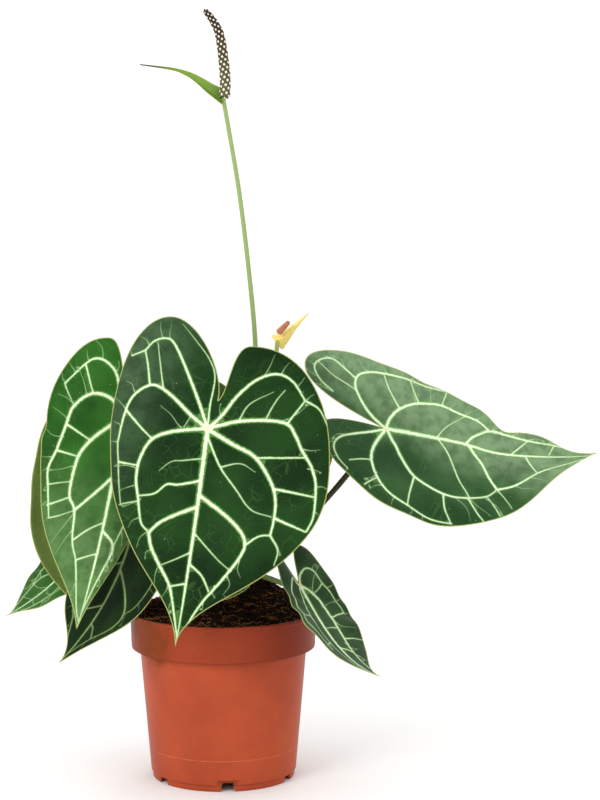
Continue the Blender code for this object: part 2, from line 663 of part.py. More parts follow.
def soil_height(radius, turn):
    """Height of the heaped mix: highest behind the middle, lowest at the viewer's side."""
    share = min(radius / (POT_RIM_RADIUS - POT_WALL), 1.0)
    lean = 0.74 + 0.26 * math.sin(turn)
    lumps = math.sin(5 * turn + 190 * radius) * math.sin(3 * turn - 260 * radius + 1.1)
    crest = 1.0 - share ** 1.7
    return soil_edge() + SOIL_HEAP * crest * (lean + (1 - lean) * (1 - share) ** 2) \
        + SOIL_LUMP * lumps * min(1.0, 6 * (1 - share)) * min(1.0, 3 * share)


def soil_object(material):
    """Makes the potting mix, a close fit in the pot, with a well for the crown."""
    band_low, body_top, body_low, _ = pot_radii()
    wall = POT_WALL + GAP
    band_z = POT_HEIGHT - POT_BAND_HEIGHT
    floor_top = POT_FLOOR_Z + POT_FLOOR_THICKNESS + GAP
    well = CROWN_RADIUS + GAP
    well_floor = crown_bottom() - GAP
    rings = [well + share * (band_low - wall - 0.0012 - well)
             for share in (0.0, 0.10, 0.24, 0.40, 0.56, 0.72, 0.87, 1.0)]
    top = [(radius, None) for radius in rings]
    side = [(band_low - wall - 0.0008, soil_edge() - 0.0010),
            (band_low - wall - 0.0008, band_z + wall + 0.0006),
            (body_top - wall, band_z + wall), (body_top - wall, band_z - 0.0010),
            (body_low - wall - 0.0003, floor_top + 0.0026), (body_low - wall - 0.0024, floor_top)]
    profile = [(0.0, well_floor), (well, well_floor), *top, *side, (0.0, floor_top)]

    def place(_, turn, radius, z):
        return (radius, soil_height(radius, turn) if z is None else z)

    mesh = turned("potting_mix", profile, POT_SIDES, place)
    return add_object("potting_mix", mesh, material)


def crown_bottom():
    """Height of the crown's buried end."""
    return soil_edge() + SOIL_HEAP - CROWN_DEPTH


def crown_object(material):
    """Makes the short stem: a dome above the mix and a stub below it."""
    centre = crown_top() - CROWN_RADIUS
    profile = [(0.0, crown_top())]
    for climb in (72.0, 52.0, 32.0, 12.0):
        angle = math.radians(climb)
        profile.append((CROWN_RADIUS * math.cos(angle), centre + CROWN_RADIUS * math.sin(angle)))
    profile += [(CROWN_RADIUS * 0.99, centre - 0.002), (CROWN_RADIUS * 0.96, crown_bottom() + 0.003),
                (CROWN_RADIUS * 0.80, crown_bottom()), (0.0, crown_bottom())]
    return add_object("crown", turned("crown", profile, 20), material)


# Each crown scale: compass place, climb on the dome, height, half width.
SCALES = ((28.0, 20.0, 0.026, 0.0026), (54.0, 20.0, 0.022, 0.0024), (304.0, 62.0, 0.024, 0.0020))
SCALE_THICKNESS = 0.0006


def scale_object(name, turn, climb, height, half_width, material):
    """Makes one thin sheath that stands at the crown."""
    seat, way = crown_seat(turn, climb)
    flat_way = np.array([way[0], way[1], 0.0])
    side = np.array([-math.sin(math.radians(turn)), math.cos(math.radians(turn)), 0.0])
    seat = seat + way * SCALE_THICKNESS
    up = np.array([0.0, 0.0, height])
    points = [seat, seat + 0.20 * up + 0.003 * way, seat + 0.55 * up + 0.30 * height * flat_way,
              seat + up + 0.42 * height * flat_way]
    route = smooth_route(points, 7)
    share = np.linspace(0.0, 1.0, len(route))
    widths = half_width * (0.55 + 0.75 * np.sin(math.pi * share ** 0.8) - 0.25 * share)
    mesh = strap(name, route, side, widths, SCALE_THICKNESS, 0.30, columns=4)
    return add_object(name, mesh, material)


# ---------------------------------------------------------------- the whole plant
def make_materials():
    """The finishes that several pieces share."""
    return {
        "pot": finish("pot", (0.50, 0.12, 0.055), 0.45),
        "potting_mix": finish("potting_mix", (0.030, 0.018, 0.011), 0.95),
        "crown": finish("crown", (0.10, 0.075, 0.030), 0.8),
        "scale": finish("scale", (0.22, 0.13, 0.06), 0.8),
        "stalk": finish("stalk", (0.16, 0.22, 0.07), 0.5),
        "flower_stalk": finish("flower_stalk", (0.27, 0.40, 0.14), 0.5),
        "spathe_tall": finish("spathe_tall", (0.22, 0.40, 0.07), 0.5),
        "spathe_short": finish("spathe_short", (0.80, 0.68, 0.22), 0.5),
        "spadix_tall": finish("spadix_tall", (0.10, 0.055, 0.045), 0.6),
        "spadix_short": finish("spadix_short", (0.60, 0.27, 0.18), 0.6),
    }


def build_plant():
    """Makes every piece of the potted plant."""
    start_empty()
    materials = make_materials()
    pot_object(materials["pot"])
    soil_object(materials["potting_mix"])
    crown_object(materials["crown"])
    by_name = {}
    for blade in BLADES:
        by_name[blade.name] = blade
        add_object(blade.name, blade_mesh(blade), finish(blade.name, blade.colour, 0.6))
    for stalk in STALKS:
        stalk_object(stalk, by_name[stalk.blade], materials["stalk"])
    flower_parts(materials)
    for index, values in enumerate(SCALES, start=1):
        scale_object(f"crown_scale_{index}", *values, materials["scale"])


build_plant()
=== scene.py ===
"""Potted anthurium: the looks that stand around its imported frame.

Nine velvety blades on their stalks, two flower spikes with their spathes, a short stem in
fibrous potting mix and a moulded nursery pot. Everything is in metres with the pot standing on
z = 0 and its axis on the z axis; the viewer's side is -Y. Veins are laid out on the flat blade
in millimetres, x across it and y along it to the tip.
"""

import sys

import logging
import math
from collections.abc import Callable, Iterable, Sequence
from dataclasses import dataclass, field
from enum import Enum

import bmesh
import bpy
import numpy as np
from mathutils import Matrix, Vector, noise
from mathutils.geometry import delaunay_2d_cdt


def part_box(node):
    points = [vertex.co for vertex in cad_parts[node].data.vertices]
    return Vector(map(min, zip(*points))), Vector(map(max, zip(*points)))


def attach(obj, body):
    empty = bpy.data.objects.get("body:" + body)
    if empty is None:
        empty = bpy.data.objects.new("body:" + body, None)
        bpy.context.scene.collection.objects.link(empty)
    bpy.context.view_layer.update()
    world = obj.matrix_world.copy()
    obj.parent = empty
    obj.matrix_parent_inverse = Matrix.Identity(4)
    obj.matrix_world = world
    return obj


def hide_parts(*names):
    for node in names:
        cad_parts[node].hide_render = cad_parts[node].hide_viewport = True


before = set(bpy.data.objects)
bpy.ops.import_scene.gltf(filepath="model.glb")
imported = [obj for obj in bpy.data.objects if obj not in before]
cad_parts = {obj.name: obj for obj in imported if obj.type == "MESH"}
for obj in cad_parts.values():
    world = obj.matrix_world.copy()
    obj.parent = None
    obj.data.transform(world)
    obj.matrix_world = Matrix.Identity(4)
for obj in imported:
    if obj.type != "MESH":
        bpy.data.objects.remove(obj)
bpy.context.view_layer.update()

LOG = logging.getLogger("anthurium")
BODY = "root"
MM = 0.001
GAP = 0.0003                    # clearance between pieces that touch
FAR = 12.0                      # distances on a blade count no further than this

Colour = tuple[float, float, float]
Point = tuple[float, float, float]


def shade(red: float, green: float, blue: float) -> Colour:
    """Turns a display colour of 0 to 255 into the linear colour that shaders take."""
    return tuple((v / 255 / 12.92) if v < 10.3 else ((v / 255 + 0.055) / 1.055) ** 2.4
                 for v in (red, green, blue))


# ---------------------------------------------------------------- node trees
class Signal:
    """A node socket that takes part in plain arithmetic."""

    def __init__(self, book: "NodeBook", socket: bpy.types.NodeSocket) -> None:
        """Keeps the socket with the tree that it belongs to."""
        self.book = book
        self.socket = socket

    def _math(self, operation: str, *values: "Signal | float") -> "Signal":
        """Adds one Math node."""
        node = self.book.node("ShaderNodeMath", {"operation": operation}, dict(enumerate(values)))
        return Signal(self.book, node.outputs[0])

    def __add__(self, other: "Signal | float") -> "Signal":
        """This plus another."""
        return self._math("ADD", self, other)

    def __radd__(self, other: float) -> "Signal":
        """A number plus this."""
        return self._math("ADD", other, self)

    def __sub__(self, other: "Signal | float") -> "Signal":
        """This less another."""
        return self._math("SUBTRACT", self, other)

    def __rsub__(self, other: float) -> "Signal":
        """A number less this."""
        return self._math("SUBTRACT", other, self)

    def __mul__(self, other: "Signal | float") -> "Signal":
        """This times another."""
        return self._math("MULTIPLY", self, other)

    def __rmul__(self, other: float) -> "Signal":
        """A number times this."""
        return self._math("MULTIPLY", other, self)

    def __truediv__(self, other: "Signal | float") -> "Signal":
        """This divided by another."""
        return self._math("DIVIDE", self, other)

    def __rtruediv__(self, other: float) -> "Signal":
        """A number divided by this."""
        return self._math("DIVIDE", other, self)

    def above(self, level: float) -> "Signal":
        """One where this is over a level, zero elsewhere."""
        return self._math("GREATER_THAN", self, level)

    def size(self) -> "Signal":
        """This without its sign."""
        return self._math("ABSOLUTE", self)

    def rise(self, low: float, high: float) -> "Signal":
        """Climbs smoothly from 0 at the low value to 1 at the high one.

        Args:
            low: Where the climb starts.
            high: Where it has reached 1.

        Returns:
            The smooth step.
        """
        node = self.book.node("ShaderNodeMapRange", {"interpolation_type": "SMOOTHSTEP"},
                              {"Value": self, "From Min": low, "From Max": high})
        return Signal(self.book, node.outputs["Result"])

    def fall(self, low: float, high: float) -> "Signal":
        """One below the low value, falling smoothly to 0 at the high one."""
        return 1.0 - self.rise(low, high)


class NodeBook:
    """Adds nodes to one tree."""

    def __init__(self, tree: bpy.types.NodeTree) -> None:
        """Keeps the tree."""
        self.tree = tree

    def node(self, kind: str, settings: dict | None = None, inputs: dict | None = None) -> bpy.types.Node:
        """Adds one node, sets it, then fills its sockets.

        Args:
            kind: The node's type.
            settings: Its properties.
            inputs: Values, signals or sockets by socket name or index.

        Returns:
            The new node.
        """
        made = self.tree.nodes.new(kind)
        for name, value in (settings or {}).items():
            setattr(made, name, value)
        for name, value in (inputs or {}).items():
            if isinstance(value, Signal):
                self.tree.links.new(value.socket, made.inputs[name])
            elif isinstance(value, bpy.types.NodeSocket):
                self.tree.links.new(value, made.inputs[name])
            elif isinstance(value, tuple) and made.inputs[name].type == "RGBA":
                made.inputs[name].default_value = (*value, 1.0)
            else:
                made.inputs[name].default_value = value
        return made

    def signal(self, node: bpy.types.Node, output: str | int = 0) -> Signal:
        """Wraps a node's output."""
        return Signal(self, node.outputs[output])


class CellMeasure(Enum):
    """What a cell pattern gives at a point."""

    NEAREST = "F1"              # distance to the nearest seed
    EDGE = "DISTANCE_TO_EDGE"   # distance to the border between two cells


class Recipe(NodeBook):
    """A material built from expressions on signals."""

    def __init__(self, name: str) -> None:
        """Starts an empty material.

        Args:
            name: The material's name.
        """
        self.material = bpy.data.materials.new(name)
        self.material.use_nodes = True
        super().__init__(self.material.node_tree)
        self.tree.nodes.clear()

    def place(self, stretch: Point = (1.0, 1.0, 1.0)) -> Signal:
        """Object coordinates in millimetres, stretched along the axes."""
        where = self.signal(self.node("ShaderNodeTexCoord"), "Object")
        size = tuple(s / MM for s in stretch)
        return self.signal(self.node("ShaderNodeMapping", None, {"Vector": where, "Scale": size}))

    def axis(self, where: Signal, letter: str) -> Signal:
        """One coordinate of a vector."""
        return self.signal(self.node("ShaderNodeSeparateXYZ", None, {0: where}), letter)

    def number(self, name: str) -> Signal:
        """A number kept on the mesh."""
        return self.signal(self.node("ShaderNodeAttribute", {"attribute_name": name}), "Fac")

    def vector(self, name: str) -> Signal:
        """A vector kept on the mesh."""
        return self.signal(self.node("ShaderNodeAttribute", {"attribute_name": name}), "Vector")

    def noise(self, where: Signal, scale: float, detail: float = 2.0, rough: float = 0.5) -> Signal:
        """Smooth noise of 0 to 1.

        Args:
            where: The coordinates that it reads.
            scale: Waves per unit of those coordinates.
            detail: How many finer layers it has.
            rough: How strong the finer layers are.

        Returns:
            The noise.
        """
        return self.signal(self.node("ShaderNodeTexNoise", None, {
            "Vector": where, "Scale": scale, "Detail": detail, "Roughness": rough}), "Fac")

    def cells(self, where: Signal, scale: float, measure: CellMeasure = CellMeasure.NEAREST,
              output: str = "Distance") -> Signal:
        """Distances in a pattern of random cells.

        Args:
            where: The coordinates that it reads.
            scale: Cells per unit of those coordinates.
            measure: What is measured.
            output: The socket that is read.

        Returns:
            The distance, or the cell's colour.
        """
        return self.signal(self.node("ShaderNodeTexVoronoi", {"feature": measure.value}, {
            "Vector": where, "Scale": scale}), output)

    def specks(self, where: Signal, scale: float, radius: float, share: float) -> Signal:
        """Small round spots in a share of random cells."""
        near = self.cells(where, scale).fall(radius * 0.6, radius)
        chosen = self.axis(self.cells(where, scale, output="Color"), "X").above(1.0 - share)
        return near * chosen

    def blend(self, share: Signal | float, one: Signal | Colour, other: Signal | Colour) -> Signal:
        """Mixes two colours.

        Args:
            share: How much of the other colour there is.
            one: The colour at 0.
            other: The colour at 1.

        Returns:
            The mixed colour.
        """
        mixed = self.node("ShaderNodeMix", {"data_type": "RGBA", "clamp_factor": True},
                          {0: share, 6: one, 7: other})
        return Signal(self, mixed.outputs[2])

    def surface(self, colour: Signal, roughness: Signal, height: Signal | None = None,
                relief: float = 0.3, depth: float = 0.0004, **fixed: float | Colour) -> bpy.types.Material:
        """Closes the material with its shader.

        Args:
            colour: Its base colour.
            roughness: Its roughness.
            height: The relief that bumps its normal.
            relief: The strength of the bump.
            depth: The real height of the relief.
            fixed: Values that are the same all over, by socket name with _ for a space.

        Returns:
            The finished material.
        """
        shader = self.node("ShaderNodeBsdfPrincipled", None,
                           {"Base Color": colour, "Roughness": roughness})
        for name, value in fixed.items():
            socket = shader.inputs[name.replace("_", " ")]
            socket.default_value = (*value, 1.0) if socket.type == "RGBA" else value
        if height is not None:
            bump = self.node("ShaderNodeBump", None,
                             {"Strength": relief, "Distance": depth, "Height": height})
            self.tree.links.new(bump.outputs[0], shader.inputs["Normal"])
        end = self.node("ShaderNodeOutputMaterial")
        self.tree.links.new(shader.outputs[0], end.inputs["Surface"])
        return self.material


class Growth(NodeBook):
    """A Geometry Nodes tree with named inputs, turned into plain meshes."""

    def __init__(self, name: str, **inputs: str) -> None:
        """Starts the tree.

        Args:
            name: The tree's name.
            inputs: The socket type of each named input.
        """
        super().__init__(bpy.data.node_groups.new(name, "GeometryNodeTree"))
        self.tree.interface.new_socket("Geometry", in_out="INPUT", socket_type="NodeSocketGeometry")
        self.keys = {}
        for key, kind in inputs.items():
            made = self.tree.interface.new_socket(key, in_out="INPUT", socket_type="NodeSocket" + kind)
            self.keys[key] = made.identifier
        self.tree.interface.new_socket("Geometry", in_out="OUTPUT", socket_type="NodeSocketGeometry")
        self.given = self.tree.nodes.new("NodeGroupInput")

    def ask(self, key: str) -> Signal:
        """One of the tree's inputs."""
        return Signal(self, self.given.outputs[key])

    def named(self, name: str) -> Signal:
        """A number kept on the geometry."""
        node = self.node("GeometryNodeInputNamedAttribute", {"data_type": "FLOAT"}, {"Name": name})
        return self.signal(node, "Attribute")

    def join(self, *parts: Signal) -> Signal:
        """Puts several geometries together."""
        joined = self.tree.nodes.new("GeometryNodeJoinGeometry")
        for part in parts:
            self.tree.links.new(part.socket, joined.inputs[0])
        return self.signal(joined)

    def end(self, geometry: Signal) -> None:
        """Realizes what has grown, gives it its material and closes the tree."""
        real = self.node("GeometryNodeRealizeInstances", None, {0: geometry})
        smooth = self.node("GeometryNodeSetShadeSmooth", None, {0: real.outputs[0]})
        dressed = self.node("GeometryNodeSetMaterial", None,
                            {"Geometry": smooth.outputs[0], "Material": self.ask("Material")})
        self.node("NodeGroupOutput", None, {0: dressed.outputs[0]})

    def grow(self, name: str, seed_mesh: bpy.types.Mesh, **values: object) -> bpy.types.Object:
        """Runs the tree on a mesh and keeps the result as a plain object.

        Args:
            name: The new piece's name.
            seed_mesh: The mesh that the tree starts from.
            values: A value for each named input.

        Returns:
            The finished object, with no modifier.
        """
        carrier = bpy.data.objects.new(name + "_seed", seed_mesh)
        bpy.context.scene.collection.objects.link(carrier)
        modifier = carrier.modifiers.new("growth", "NODES")
        modifier.node_group = self.tree
        for key, value in values.items():
            modifier[self.keys[key]] = value
        ready = carrier.evaluated_get(bpy.context.evaluated_depsgraph_get())
        mesh = bpy.data.meshes.new_from_object(ready)
        carrier.modifiers.remove(modifier)
        bpy.data.objects.remove(carrier, do_unlink=True)
        mesh.name = name
        piece = bpy.data.objects.new(name, mesh)
        bpy.context.scene.collection.objects.link(piece)
        return piece


# ---------------------------------------------------------------- shared shapes
def add_piece(name: str, mesh: bpy.types.Mesh, material: bpy.types.Material) -> bpy.types.Object:
    """Links a smooth mesh to the scene as a piece of one material."""
    mesh.materials.clear()
    mesh.materials.append(material)
    mesh.shade_smooth()
    piece = bpy.data.objects.new(name, mesh)
    bpy.context.scene.collection.objects.link(piece)
    return piece


def declare(piece: bpy.types.Object, slot: str, *nodes: str) -> None:
    """Rides a finished piece on the plant, logs its slot and hides the nodes it stands for."""
    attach(piece, BODY)
    if nodes:
        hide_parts(*nodes)
    LOG.info("%s: %d faces, slot %s", piece.name, len(piece.data.polygons), slot)


def mesh_of(name: str, points: Iterable[Sequence[float]], faces: Iterable[Sequence[int]]) -> bpy.types.Mesh:
    """Makes a mesh, merges its doubles and turns its faces outwards."""
    built = bmesh.new()
    corners = [built.verts.new([float(v) for v in p]) for p in points]
    for face in faces:
        built.faces.new([corners[i] for i in face])
    bmesh.ops.remove_doubles(built, verts=built.verts, dist=1e-6)
    bmesh.ops.recalc_face_normals(built, faces=built.faces)
    mesh = bpy.data.meshes.new(name)
    built.to_mesh(mesh)
    built.free()
    return mesh


def keep(mesh: bpy.types.Mesh, name: str, values: np.ndarray) -> None:
    """Stores a number or a vector for each corner point of a mesh."""
    vector = values.ndim == 2
    layer = mesh.attributes.new(name, "FLOAT_VECTOR" if vector else "FLOAT", "POINT")
    layer.data.foreach_set("vector" if vector else "value", values.astype(np.float32).ravel())


def unit(vector: Sequence[float]) -> np.ndarray:
    """The vector at length one."""
    vector = np.array(vector, dtype=float)
    return vector / np.linalg.norm(vector)


def smooth_route(points: Sequence[Sequence[float]], steps: int) -> np.ndarray:
    """Reads points from the smooth curve through a list of points.

    Args:
        points: What the curve passes through.
        steps: How many steps it is read in.

    Returns:
        One more point than steps.
    """
    p = np.array(points, dtype=float)
    ends = np.vstack([2 * p[0] - p[1], p, 2 * p[-1] - p[-2]])
    result = []
    for share in np.linspace(0.0, len(p) - 1.0, steps + 1):
        i = min(int(share), len(p) - 2)
        t = share - i
        a, b, c, d = ends[i:i + 4]
        result.append(0.5 * (2 * b + (c - a) * t + (2 * a - 5 * b + 4 * c - d) * t ** 2
                             + (3 * b - a - 3 * c + d) * t ** 3))
    return np.array(result)


def bezier(a: Sequence[float], b: Sequence[float], c: Sequence[float], d: Sequence[float],
           count: int) -> np.ndarray:
    """Points on the cubic curve with the four given control points."""
    t = np.linspace(0.0, 1.0, count)[:, None]
    a, b, c, d = (np.array(p, dtype=float) for p in (a, b, c, d))
    return (1 - t) ** 3 * a + 3 * (1 - t) ** 2 * t * b + 3 * (1 - t) * t ** 2 * c + t ** 3 * d


def even_steps(line: np.ndarray, step: float) -> np.ndarray:
    """Reads a line again at even steps along its length."""
    lengths = np.linalg.norm(np.diff(line, axis=0), axis=1)
    travelled = np.concatenate([[0.0], np.cumsum(lengths)])
    wanted = np.linspace(0.0, travelled[-1], max(2, int(travelled[-1] / step) + 1))
    return np.stack([np.interp(wanted, travelled, line[:, k]) for k in range(line.shape[1])], axis=1)


def frames_along(route: np.ndarray, hint: Sequence[float]) -> tuple[np.ndarray, np.ndarray]:
    """Side and normal at every point of a route, turning as little as possible."""
    tangents = np.gradient(route, axis=0)
    tangents /= np.linalg.norm(tangents, axis=1)[:, None]
    sides = []
    side = np.array(hint, dtype=float)
    for tangent in tangents:
        side = unit(side - tangent * side.dot(tangent))
        sides.append(side)
    sides = np.array(sides)
    return sides, np.cross(sides, tangents)


def sheet_faces(rows: int, columns: int, closed: bool = False) -> list[tuple[int, int, int, int]]:
    """Faces between rows of points that are listed row after row.

    Args:
        rows: How many rows there are.
        columns: How many points a row has.
        closed: Whether a row's last point joins its first.

    Returns:
        The four corners of each face.
    """
    faces = []
    for low in range(0, (rows - 1) * columns, columns):
        for column in range(columns if closed else columns - 1):
            after = (column + 1) % columns
            faces.append((low + column, low + after, low + columns + after, low + columns + column))
    return faces


def lathe(profile: Sequence[tuple[float, float]], sides: int,
          bend: Callable[[float, float, float], Point] | None = None) -> tuple[list, list]:
    """Revolves a section that starts and ends on the z axis.

    Args:
        profile: Radius and height of each ring.
        sides: How many faces go round.
        bend: Moves a point, given its turn, radius and height.

    Returns:
        The points and the faces.
    """
    points = [(0.0, 0.0, profile[0][1])]
    for radius, z in profile[1:-1]:
        for k in range(sides):
            turn = math.tau * k / sides
            points.append(bend(turn, radius, z) if bend else
                          (radius * math.cos(turn), radius * math.sin(turn), z))
    points.append((0.0, 0.0, profile[-1][1]))
    faces = []
    last = len(points) - 1
    for k in range(sides):
        after = (k + 1) % sides
        faces.append((0, 1 + k, 1 + after))
        faces.append((last, last - sides + after, last - sides + k))
        for ring in range(len(profile) - 3):
            low, high = 1 + ring * sides, 1 + (ring + 1) * sides
            faces.append((low + k, high + k, high + after, low + after))
    return points, faces


# ---------------------------------------------------------------- finishes
@dataclass(frozen=True)
class PaintedSheen:
    """Painted sheen: a paler, greyer green that lightens one side of a blade, where it turns to a grazing
    angle.
    """

    way: tuple[float, float]    # direction on the flat blade in which it grows
    start: float                # where it begins along that direction, in millimetres
    full: float                 # where it is complete
    strength: float
    colour: Colour


@dataclass(frozen=True)
class LeafFinish:
    """Velvety blade skin with pale veins."""

    name: str
    deep: Colour                # the blade's darkest green
    light: Colour               # where its nap turns to the light
    core: Colour = shade(212, 228, 192)
    halo: Colour = shade(98, 150, 70)
    under: Colour = shade(86, 108, 60)
    vein_strength: float = 1.0
    sheen: float = 0.0
    shine: float = 0.05         # specular level
    gloss: float = 0.50         # roughness of the upper side
    tip_brown: float = 2.5      # length of the dry tip, in millimetres
    # painted sheen over one side of the blade, if any
    painted_sheen: PaintedSheen | None = None

    def material(self) -> bpy.types.Material:
        """Builds the blade's material from what the mesh keeps about its veins and margin."""
        r = Recipe(self.name)
        flat = r.vector("flat")
        fine = r.noise(flat, 1.1, 3.0, 0.6)
        ragged = r.noise(flat, 0.42, 3.0, 0.7)
        reach = r.number("vein") + (fine - 0.5) * 1.0 + (ragged - 0.5) * 1.1
        strength = r.number("strength")
        halo = reach.fall(0.8, 2.4) * (0.08 + 0.92 * strength)
        core = reach.fall(0.50, 1.25) * strength * self.vein_strength
        net = r.cells(flat, 0.13, CellMeasure.EDGE)
        small_net = r.cells(flat, 0.5, CellMeasure.EDGE)
        threads = net.fall(0.0, 0.045) * r.noise(flat, 0.05).rise(0.46, 0.66) * 0.16
        threads = threads + small_net.fall(0.0, 0.10) * 0.035
        patches = r.noise(flat, 0.028, 2.0).rise(0.32, 0.70)
        near = r.number("vein").fall(1.0, 9.0)
        green = r.blend(patches * 0.75 + (fine - 0.5) * 0.5 + near * 0.12, self.deep, self.light)
        # Painted sheen: one side of the blade is painted paler and greyer, in mottled patches.
        if self.painted_sheen:
            sheen_share = r.axis(flat, "X") * self.painted_sheen.way[0] + r.axis(flat, "Y") * self.painted_sheen.way[1]
            sheen_share = (sheen_share + (patches - 0.5) * 7.0).rise(self.painted_sheen.start, self.painted_sheen.full)
            sheen_share = sheen_share * (0.55 + 0.45 * r.noise(flat, 0.11, 3.0, 0.6).rise(0.34, 0.62)) * self.painted_sheen.strength
            green = r.blend(sheen_share, green, self.painted_sheen.colour)
        green = r.blend(threads, green, self.halo)
        green = r.blend(halo * self.vein_strength, green, self.halo)
        green = r.blend(core, green, self.core)
        green = r.blend(r.specks(flat, 0.16, 0.060, 0.35) * 0.5, green, shade(190, 200, 180))
        joint = r.number("joint").fall(0.6, 2.4)
        green = r.blend(joint * 0.55, green, shade(226, 196, 120))
        low = r.blend(patches * 0.5 + threads, self.under,
                      tuple(0.72 * v for v in self.under))
        low = r.blend(halo * 0.55, low, tuple(min(1.0, 1.7 * v + 0.02) for v in self.under))
        side = r.number("under")
        skin = r.blend(side, green, low)
        rim = r.number("edge") + (fine - 0.5) * 0.5
        skin = r.blend(rim.fall(0.30, 0.80) * 0.8, skin, shade(176, 184, 110))
        skin = r.blend(r.number("tip").fall(self.tip_brown * 0.3, self.tip_brown + 0.1), skin,
                       shade(128, 92, 44))
        rough = self.gloss + (fine - 0.5) * 0.22 + side * 0.12 - core * 0.05
        height = fine * 0.5 + small_net.fall(0.0, 0.2) * -0.5 + net.fall(0.0, 0.1) * -0.5
        return r.surface(skin, rough, height, 0.22, 0.0003, Sheen_Weight=self.sheen,
                         Sheen_Roughness=0.45, Sheen_Tint=shade(200, 225, 190),
                         Specular_IOR_Level=self.shine)


@dataclass(frozen=True)
class StemFinish:
    """Skin of a stalk, with streaks along it and a different tone towards its blade."""

    name: str
    low: Colour
    high: Colour
    neck: Colour
    speckle: Colour = shade(92, 70, 44)
    roughness: float = 0.48

    def material(self) -> bpy.types.Material:
        """Builds the stalk's material, which reads how far along the stalk a point is."""
        r = Recipe(self.name)
        along = r.number("along")
        where = r.place((1.0, 1.0, 0.25))
        streak = r.noise(where, 1.4, 3.0)
        skin = r.blend(along.rise(0.1, 0.8), self.low, self.high)
        skin = r.blend((streak - 0.35) * 0.5, skin, tuple(0.55 * v for v in self.low))
        skin = r.blend(along.rise(0.88, 0.97) * 0.8, skin, self.neck)
        skin = r.blend(r.specks(r.place(), 0.7, 0.20, 0.35) * 0.35, skin, self.speckle)
        return r.surface(skin, self.roughness + (streak - 0.5) * 0.2, streak, 0.2, 0.0002,
                         Specular_IOR_Level=0.22)


@dataclass(frozen=True)
class PotFinish:
    """Moulded terracotta-coloured plastic with scuffs, dust and a rust stain on its band, and painted shade
    on the band, under its edge and in the foot's recess.
    """

    name: str
    colour: Colour = shade(170, 72, 42)
    dark: Colour = shade(152, 62, 38)
    stain: Colour = shade(112, 50, 12)
    # painted shade: the darker tone laid over the band
    band: Colour = shade(120, 42, 22)
    band_from: float = 83.6     # height of the band's lower edge, in millimetres
    foot_line: float = 20.0     # height of the mould's parting line, in millimetres

    def material(self, stain_at: Point, body_low: float) -> bpy.types.Material:
        """Builds the pot's material.

        Args:
            stain_at: The middle of the stain, in millimetres.
            body_low: Radius of the body's lower end, in millimetres.

        Returns:
            The pot's material.
        """
        r = Recipe(self.name)
        where = r.place()
        z = r.axis(where, "Z")
        cloud = r.noise(where, 0.022, 3.0, 0.55)
        grain = r.noise(where, 1.6, 3.0, 0.6)
        streak = r.noise(r.place((1.0, 1.0, 0.12)), 0.22, 4.0, 0.6)
        skin = r.blend(cloud.rise(0.30, 0.72), self.dark, self.colour)
        skin = r.blend((grain - 0.5) * 0.5 + 0.10, skin, shade(190, 100, 68))
        skin = r.blend(streak.rise(0.55, 0.80) * 0.22, skin, self.dark)
        # Painted shade: the band is darkened, more so towards +x, for the shade that falls on it.
        band = (z.rise(self.band_from - 0.8, self.band_from)
                * (0.55 + r.axis(where, "X").rise(5.0, 50.0) * 0.40))
        skin = r.blend(band, skin, self.band)
        away = r.signal(r.node("ShaderNodeVectorMath", {"operation": "DISTANCE"},
                               {0: where, 1: stain_at}), "Value")
        stain = (away + (r.noise(where, 0.13, 3.0) - 0.5) * 22.0).fall(8.0, 27.0)
        skin = r.blend(stain * 0.85, skin, self.stain)
        out = r.signal(r.node("ShaderNodeVectorMath", {"operation": "LENGTH"},
                              {0: r.place((1.0, 1.0, 0.0))}), "Value")
        # Painted shade: darker in the recess under the body's lower edge above the foot ring, and in a thin
        # line just under the band, where shadow falls.
        crevice_shade = out.fall(body_low - 0.85, body_low - 0.5) * z.rise(3.2, 4.1) * z.fall(7.6, 8.4) * 0.45
        crevice_shade = crevice_shade + (z - self.band_from).size().fall(0.15, 0.9) * 0.40
        skin = r.blend(crevice_shade, skin, shade(84, 30, 16))
        line = (z - self.foot_line).size().fall(0.10, 0.32) * streak.rise(0.30, 0.55)
        skin = r.blend(line * 0.40, skin, shade(206, 132, 100))
        scratch = r.cells(r.place((1.0, 1.0, 0.18)), 0.16, CellMeasure.EDGE).fall(0.0, 0.010)
        skin = r.blend(scratch * cloud.rise(0.55, 0.66) * 0.10, skin, shade(205, 134, 108))
        skin = r.blend(r.specks(where, 0.16, 0.060, 0.25) * 0.75, skin, shade(48, 30, 22))
        skin = r.blend(r.specks(where, 0.23, 0.050, 0.14) * 0.6, skin, shade(214, 170, 140))
        rim = z.rise(98.0, 107.0) * r.noise(where, 0.5, 4.0, 0.7).rise(0.52, 0.70)
        skin = r.blend(rim * 0.55, skin, shade(74, 42, 28))
        rough = 0.40 + (cloud - 0.5) * 0.16 + (grain - 0.5) * 0.12 + stain * 0.12 + rim * 0.3
        return r.surface(skin, rough, grain * 0.6 + streak * 0.4 - line * 0.6, 0.16, 0.0003,
                         Specular_IOR_Level=0.07, Subsurface_Weight=0.03,
                         Subsurface_Radius=(0.004, 0.0015, 0.0008))


@dataclass(frozen=True)
class MixFinish:
    """Dark fibrous potting mix."""

    name: str
    dark: Colour = shade(16, 9, 6)
    middle: Colour = shade(44, 27, 16)
    pale: Colour = shade(104, 66, 34)

    def material(self) -> bpy.types.Material:
        """Builds the mix's material, brown with paler threads and crumbs."""
        r = Recipe(self.name)
        where = r.place()
        lump = r.noise(where, 0.35, 4.0, 0.65)
        thread = r.noise(r.place((1.0, 0.25, 1.0)), 1.9, 3.0, 0.7)
        skin = r.blend(lump.rise(0.35, 0.68), self.dark, self.middle)
        skin = r.blend(thread.rise(0.60, 0.74) * 0.55, skin, self.pale)
        skin = r.blend(r.cells(where, 0.9).fall(0.05, 0.30) * 0.35, skin, self.dark)
        return r.surface(skin, 0.86 + (lump - 0.5) * 0.2, lump + thread * 0.5, 0.7, 0.0008,
                         Specular_IOR_Level=0.06)


